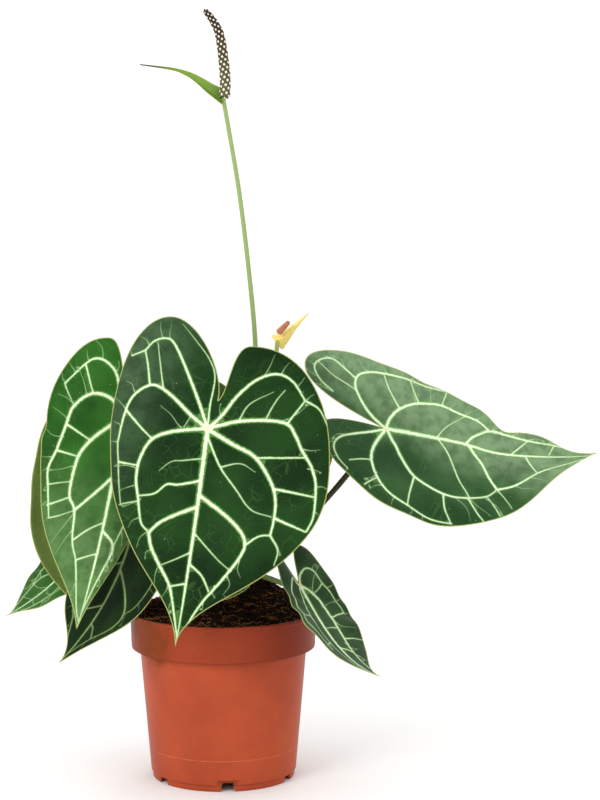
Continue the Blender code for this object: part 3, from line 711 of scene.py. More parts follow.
@dataclass(frozen=True)
class FibreFinish:
    """Coarse coir and bark threads."""

    name: str
    one: Colour = shade(150, 98, 50)
    other: Colour = shade(48, 29, 16)

    def material(self) -> bpy.types.Material:
        """Builds the threads' material."""
        r = Recipe(self.name)
        where = r.place()
        tone = r.noise(where, 0.12, 2.0)
        skin = r.blend(tone.rise(0.36, 0.62), self.other, self.one)
        skin = r.blend(r.noise(where, 2.2, 2.0).rise(0.5, 0.75) * 0.5, skin, self.other)
        return r.surface(skin, 0.8 + (tone - 0.5) * 0.2, tone, 0.3, 0.0002,
                         Specular_IOR_Level=0.1)


@dataclass(frozen=True)
class BarkFinish:
    """Short stem and its papery sheaths, ribbed along their length."""

    name: str
    one: Colour
    other: Colour
    bands: float = 0.9

    def material(self) -> bpy.types.Material:
        """Builds the bark's material."""
        r = Recipe(self.name)
        rib = r.noise(r.place((1.0, 1.0, 0.16)), self.bands, 4.0, 0.6)
        patch = r.noise(r.place(), 0.25, 3.0)
        skin = r.blend(rib.rise(0.34, 0.66), self.other, self.one)
        skin = r.blend(patch.rise(0.5, 0.7) * 0.5, skin, tuple(0.45 * v for v in self.other))
        return r.surface(skin, 0.72 + (patch - 0.5) * 0.3, rib + patch * 0.4, 0.5, 0.0006,
                         Specular_IOR_Level=0.25)


@dataclass(frozen=True)
class SpatheFinish:
    """Leathery spathe that changes tone towards its drawn-out tip."""

    name: str
    root: Colour
    middle: Colour
    tip: Colour
    tip_from: float

    def material(self) -> bpy.types.Material:
        """Builds the spathe's material, with fine lines that run to the tip."""
        r = Recipe(self.name)
        along = r.number("along")
        across = r.number("across")
        lines = r.noise(r.signal(r.node("ShaderNodeCombineXYZ", None,
                                        {"X": across * 9.0, "Y": along * 1.5})), 1.6, 3.0)
        skin = r.blend(along.rise(0.05, 0.55), self.root, self.middle)
        skin = r.blend(lines.rise(0.45, 0.70) * 0.35, skin, tuple(0.62 * v for v in self.middle))
        skin = r.blend(across.size().rise(0.82, 1.0) * 0.45, skin, shade(214, 214, 130))
        skin = r.blend(along.rise(self.tip_from, self.tip_from + 0.22) * 0.9, skin, self.tip)
        return r.surface(skin, 0.42 + (lines - 0.5) * 0.25, lines, 0.25, 0.0002,
                         Specular_IOR_Level=0.45, Subsurface_Weight=0.08,
                         Subsurface_Radius=(0.0015, 0.002, 0.0006))


@dataclass(frozen=True)
class SpikeFinish:
    """Skin of a flower spike: small dark flowers with a pale stigma each."""

    name: str
    root: Colour
    tip: Colour
    stigma: Colour

    def material(self) -> bpy.types.Material:
        """Builds the spike's material; stigmas are marked on the mesh."""
        r = Recipe(self.name)
        along = r.number("along")
        tone = r.noise(r.place(), 1.2, 3.0)
        skin = r.blend(along.rise(0.05, 0.75), self.root, self.tip)
        skin = r.blend((tone - 0.35) * 0.8, skin, tuple(0.4 * v for v in self.tip))
        skin = r.blend(r.number("stigma").rise(0.35, 0.75) * 0.92, skin, self.stigma)
        return r.surface(skin, 0.62 + (tone - 0.5) * 0.3, tone, 0.4, 0.0002,
                         Specular_IOR_Level=0.3)


@dataclass(frozen=True)
class FloorFinish:
    """Matt pale paint of the studio floor."""

    name: str = "studio_paint"
    colour: Colour = (0.905, 0.905, 0.90)

    def material(self) -> bpy.types.Material:
        """Builds the floor's material with the least trace of unevenness."""
        r = Recipe(self.name)
        tone = r.noise(r.place(), 0.002, 2.0)
        skin = r.blend(tone * 0.4, self.colour, tuple(0.985 * v for v in self.colour))
        return r.surface(skin, 0.9 + (tone - 0.5) * 0.05, Specular_IOR_Level=0.1)


# ---------------------------------------------------------------- veins
@dataclass(frozen=True)
class Vein:
    """A vein on the flat blade, in millimetres."""

    root: float                 # half width where it starts
    end: float                  # half width where it ends
    points: tuple[tuple[float, float], ...]
    loop: bool = False          # whether fine branches run on from it to the margin


def vein(root: float, end: float, *points: tuple[float, float]) -> Vein:
    """A plain vein through the given points."""
    return Vein(root, end, points)


def loop(root: float, end: float, *points: tuple[float, float]) -> Vein:
    """A vein with fine branches between it and the margin."""
    return Vein(root, end, points, loop=True)


BROAD, STRONG, CROSS, THIN, FINE = 1.45, 1.05, 0.72, 0.48, 0.34

FRONT_VEINS = (
    vein(BROAD, 0.38, (0, 0), (0, 45), (0, 90), (0, 133)),
    loop(0.85, 0.5, (0, 0), (7, -16), (19, -40), (28, -55), (34, -58), (41, -56), (46, -50), (54, -46)),
    loop(STRONG, 0.5, (0, 0), (11, -8), (26, -21), (37, -27), (45, -24), (51, -17), (54, -6), (56, 11)),
    vein(THIN, FINE, (56, 11), (54, 23), (51, 37), (48, 50)),
    loop(1.1, 0.5, (0, 0), (10, 1), (22, 3), (34, 8), (40, 19), (41, 32), (38, 45), (34, 60), (28, 66)),
    loop(0.85, 0.5, (28, 66), (25, 75), (18, 86), (10, 98), (4, 116), (0, 129)),
    vein(CROSS, THIN, (0, 33), (14, 36), (21, 36), (28, 42), (38, 44)),
    vein(THIN, 0.25, (0, 19), (12, 21), (20, 22), (27, 28)),
    vein(1.0, 0.8, (0, 49), (13, 55), (22, 60), (28, 66)),
    vein(THIN, FINE, (0, 77), (9, 82), (18, 86)),
    vein(0.6, THIN, (0, 96), (9, 98)),
    vein(0.6, 0.25, (0, 0), (0, -15), (-1, -33), (4, -45), (14, -57), (24, -68)),
    loop(1.0, 0.5, (0, 0), (-8, -8), (-17, -21), (-28, -32), (-40, -36), (-51, -31), (-60, -19)),
    vein(0.6, FINE, (-60, -19), (-69, -14), (-75, -4)),
    loop(STRONG, 0.7, (0, 0), (-7, -2), (-19, -5), (-36, -6), (-50, -4), (-56, 3), (-61, 12), (-68, 22)),
    loop(0.7, 0.5, (-68, 22), (-72, 33), (-73, 52), (-70, 62)),
    loop(1.2, 0.6, (0, 0), (-5, 3), (-18, 10), (-33, 18), (-45, 34), (-49, 46), (-49, 58), (-48, 65)),
    loop(0.6, FINE, (-48, 65), (-54, 74), (-53, 83)),
    vein(0.6, FINE, (-1, 6), (-11, 24), (-23, 38), (-34, 50), (-47, 54)),
    loop(STRONG, 0.5, (0, 42), (-17, 53), (-28, 62), (-33, 70), (-31, 79), (-20, 96), (-11, 109), (-2, 127)),
    vein(THIN, FINE, (0, 65), (-11, 75), (-19, 82), (-26, 87)),
    vein(0.6, THIN, (0, 84), (-9, 91), (-15, 100)),
    vein(0.55, THIN, (-33, 18), (-48, 18), (-64, 17)),
    vein(CROSS, THIN, (-47, 37), (-60, 39), (-72, 41)),
    vein(CROSS, THIN, (-50, 55), (-58, 58), (-69, 62)),
    vein(THIN, FINE, (-36, -6), (-42, -18), (-47, -25)),
    vein(0.6, THIN, (-50, -4), (-60, -19)),
    vein(0.6, THIN, (-34, 71), (-41, 66), (-48, 65)),
    vein(0.65, THIN, (53, -10), (42, 1), (34, 8)),
    vein(0.6, THIN, (54, 23), (41, 25)),
    vein(0.6, THIN, (40, -27), (43, -40), (46, -50)),
    vein(THIN, FINE, (31, -25), (38, -54)),
    vein(THIN, FINE, (37, 47), (49, 50)),
    vein(THIN, 0.25, (-12, 24), (-24, 22), (-34, 27)),
    vein(THIN, 0.25, (-19, -5), (-26, -16), (-40, -24)),
    vein(FINE, 0.2, (11, -8), (16, 0), (24, -8), (31, -13)),
)

LEFT_VEINS = (
    vein(BROAD, 0.36, (0, 0), (0, 45), (0, 90), (0, 133)),
    loop(0.95, 0.5, (0, 0), (6, -25), (12, -34), (21, -38), (29, -34), (41, -20)),
    loop(1.1, 0.5, (0, 0), (8, -12), (21, -15), (32, -7), (36, 3), (40, 22), (44, 35), (42, 47), (37, 66)),
    loop(1.2, 0.5, (0, 0), (8, 5), (18, 14), (25, 25), (27, 41), (26, 52), (21, 60), (18, 79), (13, 91)),
    loop(0.6, 0.4, (13, 91), (5, 119), (0, 130)),
    vein(0.5, FINE, (37, 66), (30, 64), (21, 60)),
    vein(1.0, 0.8, (0, 37), (10, 48), (21, 60)),
    vein(THIN, FINE, (41, -20), (33, -7)),
    vein(0.6, THIN, (29, -34), (21, -15)),
    vein(0.65, 0.5, (36, 6), (19, 15)),
    vein(0.65, 0.5, (40, 23), (25, 26)),
    vein(THIN, FINE, (43, 45), (27, 42)),
    vein(0.6, THIN, (40, 58), (26, 52)),
    vein(0.6, THIN, (17, 78), (9, 71), (0, 66)),
    vein(0.6, THIN, (13, 91), (6, 88), (0, 86)),
    loop(0.8, 0.4, (0, 71), (-9, 81), (-6, 96), (-3, 108), (0, 124)),
    loop(0.8, 0.4, (0, 0), (-6, -10), (-13, -17), (-17, -8), (-18, 6)),
    loop(0.9, 0.4, (0, 0), (-8, 8), (-17, 20), (-18, 40), (-14, 60), (-9, 81)),
    vein(0.5, FINE, (0, 30), (-9, 38), (-17, 42)),
)

RIGHT_VEINS = (
    vein(BROAD, 0.36, (0, 0), (-3, 20), (-4, 50), (0, 76), (1, 100), (2, 137)),
    loop(0.95, 0.5, (0, 0), (-7, -13), (-16, -22), (-24, -26), (-31, -23), (-36, -10), (-38, 12), (-37, 38)),
    vein(0.5, FINE, (-19, -24), (-23, -42), (-29, -53)),
    loop(0.6, THIN, (-27, -27), (-31, -36), (-34, -45), (-30, -53), (-24, -55), (-17, -49), (-13, -40)),
    loop(STRONG, 0.6, (0, 0), (-9, 2), (-17, 8), (-24, 19), (-27, 35), (-24, 49), (-21, 61), (-15, 70)),
    vein(0.6, THIN, (-17, 7), (-27, -2), (-35, -7)),
    vein(0.6, THIN, (-25, 20), (-37, 12)),
    vein(THIN, THIN, (-27, 36), (-36, 38)),
    vein(THIN, FINE, (-4, 35), (-13, 41), (-23, 53)),
    loop(0.9, 0.45, (-4, 55), (-10, 60), (-15, 70), (-13, 82), (-10, 95), (-7, 112), (-2, 127)),
    vein(0.6, THIN, (0, 85), (-10, 95)),
    vein(THIN, THIN, (0, 109), (-7, 112)),
    loop(0.85, 0.45, (0, 0), (5, -8), (13, -22), (21, -34), (29, -38), (38, -35), (45, -29)),
    loop(STRONG, 0.5, (0, 0), (9, -5), (20, -10), (31, -12), (44, -9), (53, -1), (59, 13),
         (64, 28), (65, 45)),
    loop(1.15, 0.5, (0, 0), (8, 5), (19, 10), (32, 18), (39, 30), (43, 43), (42, 56), (38, 69), (31, 76)),
    loop(0.8, 0.4, (31, 76), (26, 88), (16, 102), (10, 115), (4, 131)),
    vein(0.55, THIN, (-3, 37), (8, 44), (28, 50), (41, 57)),
    vein(1.0, 0.7, (-3, 57), (9, 65), (21, 70), (31, 76)),
    vein(0.6, THIN, (1, 94), (9, 98), (16, 102)),
    vein(0.6, THIN, (33, 19), (48, 15), (59, 13)),
    vein(0.6, THIN, (42, 39), (54, 40), (64, 44)),
    vein(0.6, THIN, (42, 56), (54, 62), (61, 67)),
    vein(THIN, THIN, (38, 69), (54, 78)),
    vein(THIN, FINE, (31, 76), (46, 86)),
    vein(0.5, THIN, (31, -12), (38, -28)),
    vein(0.5, THIN, (45, -9), (54, -18)),
)

LOW_LEFT_VEINS = (
    vein(1.1, 0.5, (0, 0), (0, 40), (0, 80), (0, 109)),
    loop(0.8, 0.4, (0, 41), (-14, 55), (-23, 69), (-20, 80), (-8, 91), (0, 104)),
    loop(0.7, 0.4, (0, 0), (-14, 4), (-28, 14), (-35, 30), (-34, 48), (-29, 63), (-23, 69)),
    loop(0.8, 0.4, (0, 0), (14, 3), (29, 12), (36, 28), (34, 48), (27, 66), (17, 79), (8, 97), (1, 106)),
    vein(0.55, THIN, (0, 66), (9, 71), (20, 76)),
    vein(0.55, THIN, (0, 80), (-5, 83), (-9, 90)),
    vein(0.55, THIN, (0, 36), (12, 42), (24, 46), (34, 47)),
    vein(0.5, THIN, (0, 22), (-12, 29), (-24, 32), (-35, 34)),
    loop(0.7, 0.4, (0, 0), (8, -8), (17, -17), (28, -16), (36, -2)),
    loop(0.7, 0.4, (0, 0), (-8, -6), (-17, -11), (-28, -8), (-35, 4)),
)

LOW_RIGHT_VEINS = (
    vein(0.95, 0.4, (0, 0), (-1, 20), (0, 45), (1, 70), (1, 94)),
    vein(0.55, FINE, (0, 0), (4, 8), (7, 25), (8, 45), (5, 70), (2, 88)),
    vein(0.55, FINE, (0, 0), (7, -4), (14, 6), (16, 22), (15, 40), (11, 58)),
    loop(0.8, 0.35, (0, 0), (-6, 6), (-9, 14), (-10, 27), (-9, 40), (-6, 60), (-3, 82)),
    loop(0.65, 0.35, (0, 0), (-3, -7), (-9, -11), (-14, -8), (-16, 1), (-19, 12), (-20, 26)),
    vein(0.55, THIN, (-10, 27), (-20, 26)),
    vein(0.55, FINE, (-8, 46), (-18, 52)),
    vein(0.5, THIN, (-6, 60), (0, 53)),
    vein(THIN, FINE, (-16, 1), (-11, 5), (-6, 7)),
    vein(THIN, FINE, (-9, 36), (0, 34)),
    vein(0.5, FINE, (1, -3), (8, -16)),
    vein(THIN, FINE, (7, 25), (16, 26)),
    vein(THIN, FINE, (7, 50), (13, 54)),
)


# ---------------------------------------------------------------- leaves
@dataclass(frozen=True)
class Half:
    """Outline of one half of a heart-shaped blade, flat, with the stalk at the origin."""

    width: float                # greatest half width
    widest: float               # how far along the blade that is
    lobe_out: float             # sideways place of the lobe's end
    lobe_back: float            # how far the lobe reaches behind the stalk
    notch: float = 0.003        # sideways lean of the notch between the lobes
    tip: float = 0.003          # fullness beside the tip
    waves: tuple[tuple[float, float, float], ...] = ()   # place along the blade, height and reach

    def margin(self, length: float, apex: tuple[float, float]) -> np.ndarray:
        """The half's margin from the tip round the lobe to the notch, with x positive."""
        ahead = length - self.widest
        flank = self.widest + self.lobe_back
        upper = bezier((0.0, length), (self.tip, length - 0.30 * ahead),
                       (self.width, self.widest + 0.62 * ahead), (self.width, self.widest), 60)
        middle = bezier((self.width, self.widest), (self.width, self.widest - 0.55 * flank),
                        (self.lobe_out + 0.62 * (self.width - self.lobe_out), -self.lobe_back),
                        (self.lobe_out, -self.lobe_back), 60)
        lower = bezier((self.lobe_out, -self.lobe_back), (0.40 * self.lobe_out, -self.lobe_back),
                       (self.notch, -0.45 * self.lobe_back), apex, 40)
        line = np.vstack([upper, middle[1:], lower[1:]])
        for place, height, reach in self.waves:
            wave = height * np.exp(-((line[:, 1] - place) / reach) ** 2)
            line[:, 0] += wave * (line[:, 1] < length - 1e-4)
        return line


@dataclass(frozen=True)
class Stalk:
    """A leaf stalk: its seat on the crown, its bend and its girth."""

    turn: float
    climb: float
    lift: float
    settle: float
    finish: StemFinish
    foot: float = 0.0023
    middle: float = 0.0017
    neck: float = 0.0021


@dataclass(frozen=True)
class Leaf:
    """One leaf: the shape and hang of its blade, its veins, its stalk and its finish.

    Angles are in degrees. The blade's own x side is positive to the viewer's left where it
    points towards the viewer.
    """

    name: str
    joint: Point                # where the stalk meets the blade
    heading: float              # compass direction of the tip, from +X towards +Y
    pitch: float                # how steeply the blade points down at its stalk
    bank: float                 # roll about its length
    length: float
    plus: Half
    minus: Half
    finish: LeafFinish
    stalk: Stalk
    veins: tuple[Vein, ...] = ()
    droop: float = 12.0         # how much further the tip bends down
    lobe_droop: float = 0.0
    fold_plus: float = 6.0      # how far each half is folded up from the midrib
    fold_minus: float = 6.0
    curl_plus: float = 0.8      # how strongly each half bends back towards its margin
    curl_minus: float = 0.8
    sweep: float = 0.0          # sideways bend of the tip
    apex: tuple[float, float] = (0.0, -0.0030)
    ripple: float = 0.0007      # height of the margin's waves
    kink: float = 0.0           # height of the single wave in the +x margin
    rib_softness: float = 0.006
    side_softness: float = 0.004

    def axes(self) -> tuple[np.ndarray, np.ndarray, np.ndarray]:
        """Right, forward and normal directions at the stalk."""
        heading, pitch, bank = (math.radians(v) for v in (self.heading, self.pitch, self.bank))
        level = np.array([math.cos(heading), math.sin(heading), 0.0])
        right = np.array([level[1], -level[0], 0.0])
        up = np.array([0.0, 0.0, 1.0])
        forward = level * math.cos(pitch) - up * math.sin(pitch)
        normal = up * math.cos(pitch) + level * math.sin(pitch)
        return (right * math.cos(bank) + normal * math.sin(bank), forward,
                normal * math.cos(bank) - right * math.sin(bank))

    def surface(self, x: np.ndarray, y: np.ndarray) -> np.ndarray:
        """Places flat coordinates on the hanging, folded and curled blade.

        Args:
            x: Distances across the blade.
            y: Distances along it.

        Returns:
            The points in space.
        """
        right, forward, normal = self.axes()
        ahead = math.radians(self.droop) / self.length
        behind = math.radians(self.lobe_droop) / self.length
        bend = np.where(y >= 0.0, ahead, -behind)
        bend = np.where(np.abs(bend) < 1e-6, 1e-6, bend)
        along, down, tilt = np.sin(bend * y) / bend, (1 - np.cos(bend * y)) / bend, bend * y
        plus = 1 / (1 + np.exp(-x / self.side_softness))
        fold = np.radians(self.fold_minus * (1 - plus) + self.fold_plus * plus)
        curl = self.curl_minus * (1 - plus) + self.curl_plus * plus
        away = np.sqrt(x * x + self.rib_softness ** 2) - self.rib_softness
        lift = away * np.sin(fold) - curl * x * x
        across = np.sign(x) * (np.abs(x) - away * (1 - np.cos(fold)))
        across = across + self.sweep * np.clip(y / self.length, 0.0, 2.0) ** 2
        forth = along + lift * np.sin(tilt)
        rise = lift * np.cos(tilt) - down
        return (np.array(self.joint) + across[..., None] * right
                + forth[..., None] * forward + rise[..., None] * normal)

    def normals(self, x: np.ndarray, y: np.ndarray) -> np.ndarray:
        """Upward surface directions at flat coordinates."""
        e = 1e-4
        to_right = self.surface(x + e, y) - self.surface(x - e, y)
        to_tip = self.surface(x, y + e) - self.surface(x, y - e)
        normal = np.cross(to_right, to_tip)
        return normal / np.linalg.norm(normal, axis=-1)[..., None]


@dataclass
class BladeMaker:
    """Meshes a blade so that its triangles follow its veins and its margin."""

    margin_step: float = 1.1    # spacing of points, in millimetres
    vein_step: float = 1.1
    fill_step: float = 1.9
    rail: float = 1.35          # points beside a vein, in half widths
    skin: float = 0.00045       # thickness between the veins
    rib: float = 0.0006         # how far a strong vein stands out below
    quilt: float = 0.0010       # how far the skin swells between the veins
    wave: float = 0.0016        # height of the broad waves across the blade
    fringe_step: float = 10.5   # spacing of the fine branches along an outer vein
    fringe_widths: tuple[float, float] = (0.32, 0.17)    # their half widths at root and end
    fringe_reach: tuple[float, float] = (3.0, 22.0)      # nearest and furthest margin they run to
    bare_middle: float = 5.0    # none start nearer to the midrib than this

    def outline(self, leaf: Leaf) -> np.ndarray:
        """The whole margin in millimetres, anticlockwise from the tip."""
        plus = leaf.plus.margin(leaf.length, leaf.apex) / MM
        minus = leaf.minus.margin(leaf.length, (-leaf.apex[0], leaf.apex[1])) / MM
        plus, minus = even_steps(plus, self.margin_step), even_steps(minus, self.margin_step)
        minus[:, 0] *= -1.0
        return np.vstack([minus, plus[::-1][1:-1]])

    def inside(self, margin: np.ndarray, points: np.ndarray) -> np.ndarray:
        """Which points lie inside the margin."""
        ahead = np.roll(margin, -1, axis=0)
        result = np.zeros(len(points), dtype=bool)
        for (ax, ay), (bx, by) in zip(margin, ahead):
            if ay == by:
                continue
            crosses = (ay > points[:, 1]) != (by > points[:, 1])
            reach = ax + (points[:, 1] - ay) * (bx - ax) / (by - ay)
            result ^= crosses & (points[:, 0] < reach)
        return result

    def general_veins(self, leaf: Leaf) -> tuple[Vein, ...]:
        """Lays out the usual veins of the kind on a blade that has none of its own."""
        long = leaf.length / MM
        found = [vein(0.010 * long, 0.45, (0, 0), (0, 0.5 * long), (0, 0.98 * long))]
        for half, sign in ((leaf.plus, 1.0), (leaf.minus, -1.0)):
            w, b, m = half.width / MM, half.lobe_back / MM, half.widest / MM
            thick = 0.66 * min(1.0, 0.022 * w + 0.12)
            paths = (
                (1.0, ((0, 0), (0.24 * w, -0.36 * b), (0.45 * w, -0.62 * b), (0.66 * w, -0.36 * b),
                       (0.80 * w, 0.2 * m))),
                (1.1, ((0, 0), (0.32 * w, 0.02 * long), (0.62 * w, 0.10 * long), (0.74 * w, 0.26 * long),
                       (0.66 * w, 0.42 * long), (0.48 * w, 0.58 * long))),
                (1.0, ((0, 0.27 * long), (0.26 * w, 0.37 * long), (0.46 * w, 0.52 * long),
                       (0.32 * w, 0.70 * long), (0.13 * w, 0.86 * long), (0, 0.97 * long))),
            )
            for share, points in paths:
                found.append(loop(thick * share, 0.35, *((sign * x, y) for x, y in points)))
            links = (((0.55 * w, 0.08 * long), (0.70 * w, -0.24 * b)),
                     ((0.72 * w, 0.20 * long), (0.90 * w, 0.17 * long)),
                     ((0, 0.14 * long), (0.32 * w, 0.20 * long), (0.72 * w, 0.24 * long)),
                     ((0, 0.52 * long), (0.20 * w, 0.58 * long), (0.42 * w, 0.58 * long)),
                     ((0, 0.70 * long), (0.28 * w, 0.74 * long)),
                     ((0.46 * w, 0.50 * long), (0.64 * w, 0.44 * long)))
            for points in links:
                found.append(vein(0.55 * thick, 0.3, *((sign * x, y) for x, y in points)))
        return tuple(found)

    def fringe(self, leaf: Leaf, veins: tuple[Vein, ...], margin: np.ndarray) -> list[Vein]:
        """Adds the fine branches that run from the outer veins to the margin."""
        chance = np.random.default_rng(len(leaf.name) * 17 + 5)
        middle = np.array([0.0, 0.18 * leaf.length / MM])
        found = []
        for each in veins:
            if not each.loop:
                continue
            line = even_steps(smooth_route(each.points, 40), self.fringe_step)
            for point in line[1:]:
                point = point + chance.normal(0.0, 0.8, 2)
                way = unit(point - middle) + chance.normal(0.0, 0.16, 2)
                steps = np.arange(1.0, 30.0, 0.5)[:, None]
                ray = point + steps * way
                held = self.inside(margin, ray)
                reach = float(steps[np.argmin(held)][0]) if not held.all() else 0.0
                shortest, longest = self.fringe_reach
                if not shortest < reach < longest or np.abs(point[0]) < self.bare_middle:
                    continue
                bow = np.array([-way[1], way[0]]) * chance.normal(0.0, 0.08) * reach
                run = way * reach * chance.uniform(0.55, 0.97)
                bent = tuple(point + run * 0.5 + bow)
                found.append(Vein(*self.fringe_widths, (tuple(point), bent, tuple(point + run))))
        return found

    def scatter(self, margin: np.ndarray, lines: list[tuple[np.ndarray, np.ndarray]]) -> np.ndarray:
        """Chooses the mesh's points: margin, vein middles, rails beside them, then a fill.

        Args:
            margin: The outline.
            lines: Each vein's points and half widths.

        Returns:
            All points, the margin's first.
        """
        kept: list[np.ndarray] = list(margin)
        cells: dict[tuple[int, int], list[int]] = {}
        size = 2.0

        def note(index: int) -> None:
            """Files a point under its cell."""
            cells.setdefault(tuple((kept[index] // size).astype(int)), []).append(index)

        def free(point: np.ndarray, clear: float) -> bool:
            """Whether no kept point is nearer than the clear distance."""
            cx, cy = (point // size).astype(int)
            for i in (cx - 1, cx, cx + 1):
                for j in (cy - 1, cy, cy + 1):
                    for other in cells.get((i, j), ()):
                        dx, dy = kept[other] - point
                        if dx * dx + dy * dy < clear * clear:
                            return False
            return True

        def offer(points: np.ndarray, clear: float) -> None:
            """Keeps the points that lie inside and have room."""
            for point in points[self.inside(margin, points)]:
                if free(point, clear):
                    kept.append(point)
                    note(len(kept) - 1)

        for index in range(len(kept)):
            note(index)
        for line, _ in lines:
            offer(line, 0.40)
        for line, widths in lines:
            way = np.gradient(line, axis=0)
            way /= np.linalg.norm(way, axis=1)[:, None] + 1e-12
            beside = np.stack([-way[:, 1], way[:, 0]], axis=1) * (self.rail * widths + 0.15)[:, None]
            offer(np.vstack([line + beside, line - beside]), 0.42)
        low, high = margin.min(axis=0), margin.max(axis=0)
        across = np.arange(low[0], high[0], self.fill_step)
        rows = np.arange(low[1], high[1], self.fill_step * 0.87)
        grid = [(x + (k % 2) * self.fill_step / 2, y) for k, y in enumerate(rows) for x in across]
        chance = np.random.default_rng(3)
        offer(np.array(grid) + chance.normal(0.0, 0.12, (len(grid), 2)), self.fill_step * 0.62)
        return np.array(kept)

    def vein_reach(self, points: np.ndarray, lines: list[tuple[np.ndarray, np.ndarray]]
                   ) -> tuple[np.ndarray, np.ndarray, np.ndarray]:
        """Measures every point against the veins.

        Args:
            points: The mesh's flat points.
            lines: Each vein's points and half widths.

        Returns:
            Distance in half widths, the nearest vein's half width, and distance to a strong
            vein in millimetres.
        """
        reach = np.full(len(points), FAR)
        girth = np.full(len(points), 0.3)
        strong = np.full(len(points), 30.0)
        for line, widths in lines:
            start, step = line[:-1], np.diff(line, axis=0)
            offset = points[:, None, :] - start[None]
            t = np.clip((offset * step).sum(-1) / ((step ** 2).sum(-1) + 1e-9), 0.0, 1.0)
            away = np.linalg.norm(offset - t[..., None] * step, axis=-1)
            width = widths[:-1] + t * np.diff(widths)
            ratio = away / width
            best = ratio.argmin(axis=1)
            rows = np.arange(len(points))
            closer = ratio[rows, best] < reach
            reach = np.where(closer, ratio[rows, best], reach)
            girth = np.where(closer, width[rows, best], girth)
            if widths.max() > 0.55:
                slack = 0.6 * (1.0 - np.minimum(width[rows, best], 1.0))
                strong = np.minimum(strong, away.min(axis=1) + slack)
        return reach, girth, strong

    def margin_distance(self, points: np.ndarray, margin: np.ndarray) -> np.ndarray:
        """Distance of every point to the margin."""
        nearest = np.full(len(points), 1e9)
        for start, stop in zip(margin, np.roll(margin, -1, axis=0)):
            step = stop - start
            t = np.clip(((points - start) @ step) / (step @ step + 1e-9), 0.0, 1.0)
            away = points - start - t[:, None] * step
            nearest = np.minimum(nearest, (away ** 2).sum(axis=1))
        return np.sqrt(nearest)

    def swell(self, leaf: Leaf, flat: np.ndarray, strong: np.ndarray, edge: np.ndarray) -> np.ndarray:
        """How far the skin stands above the plain surface: quilting, waves and the kink."""
        quilt = self.quilt * (1.0 - np.exp(-(strong / 4.5) ** 2)) * np.clip(edge / 6.0, 0.0, 1.0)
        seed = sum(ord(letter) for letter in leaf.name) * 0.37
        waves = np.array([noise.noise(Vector((x * 0.034 + seed, y * 0.034, seed))) for x, y in flat])
        turn = np.arctan2(flat[:, 0], flat[:, 1] - 20.0)
        rim = np.exp(-edge / 9.0) * np.sin(turn * 9.0 + seed) * leaf.ripple
        kink = leaf.kink * np.exp(-((flat[:, 1] - 12.0) / 9.0) ** 2) * np.exp(-edge / 7.0)
        kink = kink * np.sin((flat[:, 1] - 12.0) / 5.0) * (flat[:, 0] > 0)
        return quilt + self.wave * waves * np.clip(np.abs(flat[:, 0]) / 12.0, 0.0, 1.0) + rim + kink

    def mesh(self, leaf: Leaf) -> bpy.types.Mesh:
        """Builds the closed blade with what its material reads.

        Args:
            leaf: The leaf to mesh.

        Returns:
            The mesh, with its vein, margin and side values and its own UV map.
        """
        margin = self.outline(leaf)
        veins = leaf.veins or self.general_veins(leaf)
        veins = [*veins, *self.fringe(leaf, tuple(veins), margin)]
        lines = []
        for each in veins:
            line = even_steps(smooth_route(each.points, 48), self.vein_step)
            lines.append((line, np.linspace(each.root, each.end, len(line))))
        points = self.scatter(margin, lines)
        ring = [(i, (i + 1) % len(margin)) for i in range(len(margin))]
        result = delaunay_2d_cdt([Vector(p) for p in points], ring, [], 0, 1e-7, True)
        flat = np.array([tuple(v) for v in result[0]])
        corners = np.array(result[2])
        corners = corners[self.inside(margin, flat[corners].mean(axis=1))]
        place = {sources[0]: index for index, sources in enumerate(result[3]) if sources}
        rim = [place[i] for i in range(len(margin))]
        reach, girth, strong = self.vein_reach(flat, lines)
        edge = self.margin_distance(flat, margin)
        x, y = flat[:, 0] * MM, flat[:, 1] * MM
        normal = leaf.normals(x, y)
        top = leaf.surface(x, y) + normal * self.swell(leaf, flat, strong, edge)[:, None]
        fade = np.clip(edge / 3.0, 0.0, 1.0)
        thick = self.skin * (0.55 + 0.45 * fade)
        thick = thick + self.rib * np.exp(-(reach * 0.9) ** 2) * np.clip(girth, 0.2, 1.3) * fade
        count = len(flat)
        faces = corners.tolist() + (corners[:, ::-1] + count).tolist()
        faces += [(b, a, a + count, b + count) for a, b in zip(rim, rim[1:] + rim[:1])]
        mesh = bpy.data.meshes.new("blade_" + leaf.name)
        mesh.from_pydata(np.vstack([top, top - normal * thick[:, None]]).tolist(), [], faces)
        kept = {"vein": reach, "strength": np.clip((girth - 0.12) / 0.55, 0.0, 1.0), "edge": edge,
                "joint": np.hypot(flat[:, 0], flat[:, 1]),
                "tip": np.maximum(leaf.length / MM - flat[:, 1], 0.0)}
        for key, values in kept.items():
            keep(mesh, key, np.tile(np.minimum(values, FAR), 2))
        keep(mesh, "under", np.repeat([0.0, 1.0], count))
        shift = float(len(leaf.name)) * 31.0
        sheet = np.column_stack([flat, np.full(count, shift)])
        keep(mesh, "flat", np.vstack([sheet, sheet + (0.0, 0.0, 3.0)]))
        self.lay_out(mesh, flat, count, len(corners))
        return mesh

